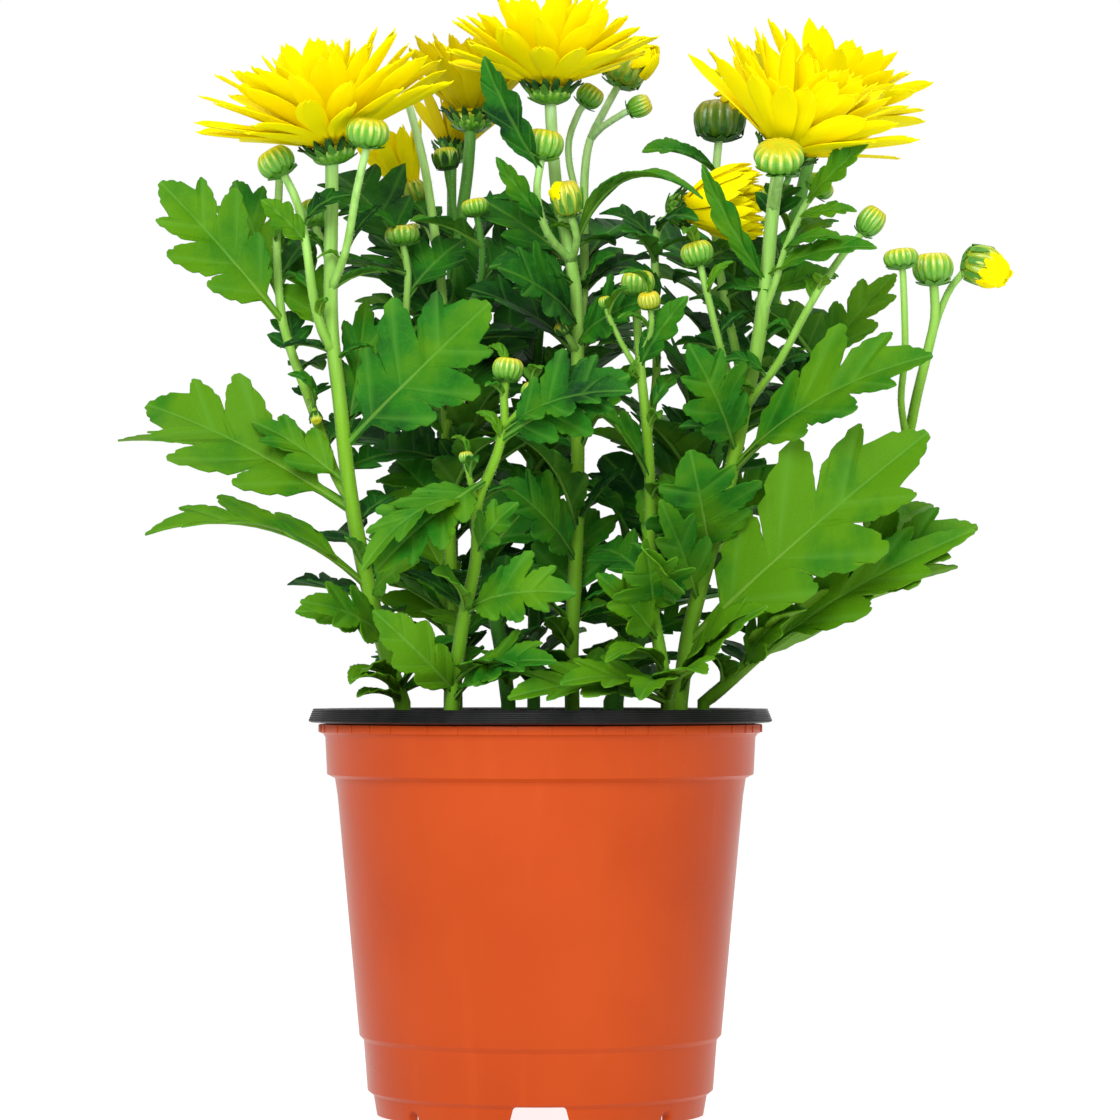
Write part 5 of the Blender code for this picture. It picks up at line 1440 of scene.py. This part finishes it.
def join_parts(name, parts, finishes):
    """One piece from parts of (points, faces, lies, slot of finish)."""
    points, faces, lies, slots = [], [], [], []
    for shape, sides, lying, slot in parts:
        faces += [tuple(len(points) + corner for corner in face) for face in sides]
        points += shape
        lies += lying
        slots += [slot] * len(sides)
    return piece_of(name, points, faces, finishes, lies, slots)


def to_size(rings, wide, tall):
    """Rings of bracts with their shares made millimetres."""
    return [(count, wide * radius, tall * height, elevation, wide * length, wide * width)
            for count, radius, height, elevation, length, width in rings]


def bracts_round(centre, turn, rings, slot, parts):
    """Adds rings of bracts, whose sizes are in millimetres, round a point."""
    shape, faces = BRACT_SHAPE
    for count, radius, height, elevation, length, width in rings:
        start = bud_chance.uniform(0, math.tau)
        for k in range(count):
            heading = start + math.tau * k / count + bud_chance.uniform(-0.08, 0.08)
            rise = math.radians(elevation + bud_chance.uniform(-7, 7))
            long = length * bud_chance.uniform(0.85, 1.1)
            place = Matrix.Rotation(heading, 3, "Z") @ Matrix.Rotation(-rise, 3, "Y")
            root = Matrix.Rotation(heading, 3, "Z") @ Vector((radius, 0, height))
            stretched = [Vector((corner.x * long, corner.y * width * 2, corner.z * long)) for corner in shape]
            points = [centre + turn @ (root + place @ corner) * MM for corner in stretched]
            parts.append((points, faces, [(0, 0, 0)] * len(points), slot))


def bud_parts(centre, turn, width, height, tint, parts, slot=GREEN):
    """A closed bud; tint says how yellow it is."""
    points, faces, lies = BUD_SHAPE
    spin = Matrix.Rotation(bud_chance.uniform(0, math.tau), 3, "Z")
    placed = [centre + turn @ spin @ Vector((p.x * width, p.y * width, p.z * height)) * MM for p in points]
    parts.append((placed, faces, [(a, b, tint) for a, b, _ in lies], slot))


for name in STALKS:
    parts = []
    for branch, (width, height) in BUDS.get(name, {}).items():
        path = COARSE_PATHS[name][branch]
        turn = frame_of(path[-1] - path[-2])
        tint = BUD_YELLOW if (name, branch) in YELLOW_BUDS else 0.0
        bud_parts(path[-1], turn, width, height, tint, parts)
        rings, slot = (BUD_FOOT + DRAWN_UP, DARK) if (name, branch) in BUDS_IN_PAINTED_SHADE else (BUD_FOOT, MID)
        bracts_round(path[-1], turn, to_size(rings, width, height), slot, parts)
    for branch, (radius, height, facing) in CUPS.get(name, {}).items():
        top = COARSE_PATHS[name][branch][-1]
        turn = frame_of(facing)
        if (name, branch) in OPENING_CUPS:
            wide, tall, lift = OPENING_CUPS[name, branch]
            tint, slot, foot_slot = (0.0, SHADED, DARK) if branch == "back" else (OPENING_YELLOW, GREEN, MID)
            bud_parts(top + turn @ Vector((0, 0, lift)) * MM, turn, wide, tall, tint, parts, slot)
            foot = lift - tall * 0.46
            rings = [(8, wide * 0.12, foot - 0.5, 14, wide * 0.32, wide * 0.20),
                     (9, wide * 0.42, foot + tall * 0.10, 80, tall * 0.55, wide * 0.16)]
            bracts_round(top, turn, rings, foot_slot, parts)
            continue
        middle = top - turn @ Vector((0, 0, height * 0.40)) * MM
        bud_parts(middle, turn, radius * 1.86, height * 1.1, 0.0, parts)
        bracts_round(top, turn, to_size(CUP_FOOT, radius, height), MID, parts)
        bracts_round(top, turn, to_size(CUP_RIM, radius, height), DARK, parts)
    if parts:
        buds = join_parts(f"buds_{name}", parts, BUD_FINISHES)
        face_out(buds)
        bpy.ops.object.shade_smooth_by_angle(angle=math.radians(50))
        keep(buds, "leaf_green", f"stem_{name}")


# The blooms. Dense double flowers of soft strap petals, bright pure yellow. The outer petals lie out wide and
# the inner ones stand up, each slightly channelled with fine lengthwise lines and a notched tip.

# A petal as rows of (share of its length, share of its width), then its notched tip as (across, along).
PETAL_ROWS = ((0.0, 0.34), (0.18, 0.66), (0.40, 0.92), (0.62, 1.02), (0.79, 0.92), (0.91, 0.64))
PETAL_TIP = ((-0.5, 0.965), (-0.25, 1.005), (0.0, 1.03), (0.25, 0.99), (0.5, 0.975))
TIP_WIDTH = 0.32
# How far each of a petal's five columns of points is lifted to make its channels.
PETAL_CREASES = (1.0, 0.05, 0.45, 0.0, 0.9)
PETAL_BLADE = 0.30
# Blooms: stem, branch, core radius and height, and rings of petals. A ring is (petals, distance from the
# middle, height, elevation, curl, length, width), in millimetres and degrees.
BLOOMS = {
    "left_front": ("left", "main", 6.6, 6.5, [
        (17, 6.0, 0.4, 23, -8, 34.0, 7.8), (17, 5.6, 1.6, 33, -8, 34.0, 7.4),
        (16, 5.0, 2.8, 43, -6, 33.0, 6.8), (15, 4.2, 4.0, 54, -2, 30.0, 6.2),
        (13, 3.2, 5.0, 64, 2, 26.0, 5.6), (10, 2.2, 5.6, 73, 4, 21.0, 5.0),
        (7, 1.0, 6.0, 82, 4, 16.0, 4.4)]),
    "second": ("second", "main", 6.2, 6.5, [
        (15, 5.8, 0.6, 40, 6, 23.0, 6.4), (15, 5.2, 2.0, 49, 5, 23.0, 6.0),
        (13, 4.4, 3.4, 58, 4, 22.0, 5.6), (11, 3.2, 4.6, 68, 4, 19.5, 5.0),
        (8, 1.8, 5.4, 78, 4, 16.0, 4.4)]),
    "top": ("centre", "main", 6.2, 6.2, [
        (17, 5.8, 0.4, 24, -4, 28.5, 7.0), (17, 5.3, 1.6, 34, -4, 28.5, 6.6),
        (16, 4.7, 2.8, 45, -2, 27.5, 6.2), (14, 3.9, 4.0, 56, 2, 25.0, 5.8),
        (12, 2.9, 4.9, 67, 4, 21.0, 5.2), (8, 1.7, 5.5, 77, 4, 16.5, 4.6)]),
    "right_front": ("right", "main", 6.6, 6.5, [
        (17, 6.0, 0.4, 31, -6, 32.0, 7.4), (17, 5.5, 1.6, 40, -6, 32.0, 7.0),
        (16, 4.8, 3.0, 49, -4, 31.0, 6.4), (14, 4.0, 4.1, 59, 0, 27.0, 5.9),
        (12, 3.0, 5.0, 69, 3, 23.0, 5.2), (8, 1.8, 5.7, 78, 4, 18.0, 4.6)]),
    "right_back": ("back_bloom", "main", 6.4, 6.4, [
        (17, 5.9, 0.4, 25, -6, 31.0, 7.4), (16, 5.4, 1.6, 35, -6, 31.0, 7.0),
        (15, 4.7, 2.8, 46, -4, 30.0, 6.4), (14, 3.9, 4.0, 57, 0, 26.0, 5.9),
        (12, 2.9, 4.9, 68, 3, 22.0, 5.2), (8, 1.7, 5.5, 77, 4, 17.0, 4.6)]),
    "half_open_right": ("middle_right", "cup", 5.2, 5.0, [
        (20, 4.8, 0.6, 44, 50, 20.5, 3.4), (18, 4.2, 1.6, 49, 46, 20.5, 3.3),
        (16, 3.4, 2.6, 57, 40, 20.0, 3.2), (13, 2.6, 3.4, 66, 30, 19.0, 3.0),
        (8, 1.6, 4.2, 78, 16, 17.0, 3.0)]),
    "half_open_left": ("left_inner", "half_open", 4.2, 4.4, [
        (9, 3.9, 0.6, 66, 5, 18.0, 4.2), (9, 3.2, 1.8, 74, 4, 17.0, 3.8), (6, 2.0, 3.2, 82, 3, 15.0, 3.6)]),
    "opening_top": ("centre", "second", 4.6, 4.6, [
        (9, 7.6, 2.4, 92, 56, 9.4, 4.2), (8, 5.8, 4.6, 108, 44, 6.4, 3.6),
        (5, 2.6, 6.0, 130, 20, 3.6, 3.0)]),
    "opening_back": ("right", "back", 6.0, 5.4, [
        (9, 7.4, 4.6, 108, 36, 5.6, 3.8), (6, 4.2, 6.0, 124, 20, 4.0, 3.2)]),
    "opening_centre": ("centre", "opening", 3.4, 3.6, [
        (6, 3.8, 2.8, 112, 40, 4.0, 2.4), (4, 1.8, 4.0, 130, 20, 2.4, 2.0)]),
    "opening_far_right": ("far_right", "outer", 4.4, 4.4, [
        (9, 6.8, 1.8, 92, 60, 8.8, 3.8), (7, 5.2, 4.0, 108, 46, 6.0, 3.4),
        (4, 2.2, 5.4, 130, 20, 3.2, 2.6)]),
    "back_left": ("back_left", "main", 4.6, 4.8, [
        (10, 4.3, 0.8, 52, 6, 18.0, 5.6), (10, 3.7, 2.0, 62, 5, 17.5, 5.0), (7, 2.6, 3.2, 72, 4, 16.0, 4.4),
        (5, 1.2, 4.0, 82, 3, 14.0, 4.0)]),
}
# The side on which an opening bud lets its petals out.
PETAL_SIDES = {"opening_top": (1.0, -0.35, 0.7), "opening_back": (0.7, -0.2, 0.9),
               "opening_centre": (-0.7, -0.5, 0.5), "opening_far_right": (0.8, -0.4, -0.5)}
bloom_chance = random.Random(41)


def petal_shape():
    """A flat petal from a grid: (points, faces), a point being (along, across) with the notched tip."""
    bpy.ops.mesh.primitive_grid_add(x_subdivisions=len(PETAL_TIP) - 1, y_subdivisions=len(PETAL_ROWS), size=2)
    faces = taken_apart(bpy.context.object)[1]
    points = []
    for along, wide in PETAL_ROWS:
        points += [(along, across * wide) for across, _ in PETAL_TIP]
    points += [(along, across * TIP_WIDTH) for across, along in PETAL_TIP]
    return points, faces


PETAL_SHAPE = petal_shape()


def petal(heading, start, height, elevation, curl, length, width, chance):
    """The points of one petal, drawn out along a curve that rises from the core."""
    cup = chance.uniform(0.06, 0.26)
    twist = chance.uniform(-0.5, 0.5)
    sway = chance.uniform(-0.13, 0.13)
    outward = Vector((math.cos(heading), math.sin(heading), 0))
    aside = Vector((-outward.y, outward.x, 0))
    points = []
    for (along, across), crease in zip(PETAL_SHAPE[0], itertools.cycle(PETAL_CREASES)):
        mean = math.radians(elevation + curl * along / 2)
        angle = math.radians(elevation + curl * along)
        centre = outward * (start + length * along * math.cos(mean))
        centre.z = height + length * along * math.sin(mean)
        over = Vector((0, 0, math.cos(angle))) - outward * math.sin(angle)
        turn = twist * along
        side = aside * math.cos(turn) + over * math.sin(turn)
        up = over * math.cos(turn) - aside * math.sin(turn)
        lift = cup * width * crease * (1 - 0.5 * along)
        points.append(centre + side * (across * width) + up * lift + aside * sway * length * along * along)
    return points


def petal_yellow(name, bright, deep, foot_fold_shade):
    """Pure yellow, deeper towards the petal's foot, partly its own deeper base and partly painted shade where
    the petals crowd in the bloom's middle, with fine lengthwise lines.
    """
    finish, tree, shader = new_finish(name, 0.6, 0.05)
    lie, parts = lie_of(tree)
    # The foot colour is painted shade in the folds at the bloom's middle, over a slightly deeper real base.
    body = ramp_of(tree, parts["X"], [(0.0, foot_fold_shade), (0.25, deep), (0.55, bright)])
    drawn_out = add_node(tree, "ShaderNodeMapping", [("Vector", lie)], Scale=(1.2, 22, 40))
    lines = add_node(tree, "ShaderNodeTexNoise", [("Vector", drawn_out.outputs["Vector"])], Scale=1.0,
                     Detail=2)
    streak = ramp_of(tree, lines.outputs["Fac"], [(0.46, grey(0)), (0.66, grey(0.6))])
    aged = ramp_of(tree, parts["Z"], [(0.5, grey(0)), (1.0, grey(0.7))])
    tree.links.new(mixed(tree, aged, mixed(tree, streak, body, deep), deep), shader.inputs["Base Color"])
    bumped(tree, shader, lines.outputs["Fac"], 0.12, 0.08)
    return finish


petal_outside = petal_yellow("petal_outside", (1.0, 0.90, 0.0), (1.0, 0.84, 0.0), (0.94, 0.70, 0.0))
petal_inside = petal_yellow("petal_inside", (1.0, 0.87, 0.0), (0.98, 0.80, 0.0), (0.84, 0.66, 0.0))
shaded_outside = petal_yellow("shaded_outside", (0.66, 0.55, 0.0), (0.58, 0.46, 0.0), (0.38, 0.29, 0.0))
shaded_inside = petal_yellow("shaded_inside", (0.95, 0.82, 0.0), (0.90, 0.74, 0.0), (0.68, 0.54, 0.0))
SHADED_BLOOMS = ("second", "opening_back", "back_left")
for name, (stem, branch, radius, height, rings) in BLOOMS.items():
    facing = CUPS[stem][branch][2]
    turn = frame_of(facing)
    base = COARSE_PATHS[stem][branch][-1]
    if name in PETAL_SIDES:
        base = base + turn @ Vector((0, 0, OPENING_CUPS[stem, branch][2])) * MM
        turn = frame_of(PETAL_SIDES[name])
    parts = []
    for count, start, rise, elevation, curl, length, width in rings:
        first = bloom_chance.uniform(0, math.tau)
        for k in range(count):
            heading = first + math.tau * k / count + bloom_chance.uniform(-0.10, 0.10)
            tilt = elevation + bloom_chance.uniform(-7, 7)
            long = length * bloom_chance.uniform(0.82, 1.03)
            wide = width * bloom_chance.uniform(0.90, 1.16)
            points = petal(heading, start * 0.8, rise, tilt, curl, long, wide, bloom_chance)
            points = [base + turn @ point * MM for point in points]
            tint = bloom_chance.random()
            parts.append((points, PETAL_SHAPE[1], [(a, b, tint) for a, b in PETAL_SHAPE[0]], 0))
    yellows = [shaded_outside, shaded_inside] if name in SHADED_BLOOMS else [petal_outside, petal_inside]
    bloom = join_parts(f"petals_{name}", parts, yellows)
    thicken(bloom, PETAL_BLADE)
    bpy.ops.object.shade_smooth_by_angle(angle=math.radians(60))
    keep(bloom, "petal_yellow", f"bloom_{name}")
    bpy.ops.mesh.primitive_uv_sphere_add(segments=24, ring_count=12, radius=1)
    core = bpy.context.object
    for vert in core.data.vertices:
        vert.co = Vector((vert.co.x * radius * 0.80, vert.co.y * radius * 0.80,
                          max(0.15, vert.co.z * height * 0.9))) * MM
    core.data.transform(Matrix.Translation(base) @ turn.to_4x4())
    face_out(core)
    noted(core, f"core_{name}", yellows[1])
    bpy.ops.object.shade_smooth()
    keep(core, "petal_yellow")


# The floor, light and world. A plain pale studio: a wide pale floor, a large soft key light in front and
# above, weaker ones from the right, from overhead and from behind, and a white surround.

bpy.ops.object.select_all(action="DESELECT")
bpy.ops.mesh.primitive_plane_add(size=6, location=(0, 0, -0.0005))
floor = bpy.context.object
floor.name = "studio_floor"
pale, tree, shader = new_finish("pale_floor", 0.9, 0.5)
shader.inputs["Base Color"].default_value = (*grey(0.30), 1)
shader.inputs["Emission Color"].default_value = (*grey(1), 1)
shader.inputs["Emission Strength"].default_value = 0.86
floor.data.materials.append(pale)

# Lights: place, power and size, in metres and watts. All face the middle of the plant.
LIGHTS = {"key": ((-0.35, -1.4, 0.9), 22, 0.9), "fill": ((1.0, -1.0, 0.6), 3, 1.0),
          "top": ((0.1, 0.1, 1.3), 6, 0.9), "rear": ((0.2, 1.2, 0.7), 3, 1.0)}
PLANT_MIDDLE = Vector((0, 0, 0.16))
for name, (place, power, size) in LIGHTS.items():
    bpy.ops.object.light_add(type="AREA", location=place)
    lamp = bpy.context.object
    lamp.name = f"{name}_light"
    lamp.data.energy = power
    lamp.data.size = size
    lamp.rotation_euler = (PLANT_MIDDLE - Vector(place)).to_track_quat("-Z", "Y").to_euler()

world = bpy.data.worlds.new("white_surround")
world.use_nodes = True
tree = world.node_tree
surround = tree.nodes["Background"]
surround.inputs["Color"].default_value = (*grey(1), 1)
sight = tree.nodes.new("ShaderNodeLightPath")
strength = add_node(tree, "ShaderNodeMapRange", [("Value", sight.outputs["Is Camera Ray"])], To_Min=0.36,
                    To_Max=1.0)
tree.links.new(strength.outputs["Result"], surround.inputs["Strength"])
bpy.context.scene.world = world
bpy.context.scene.view_settings.view_transform = "Standard"
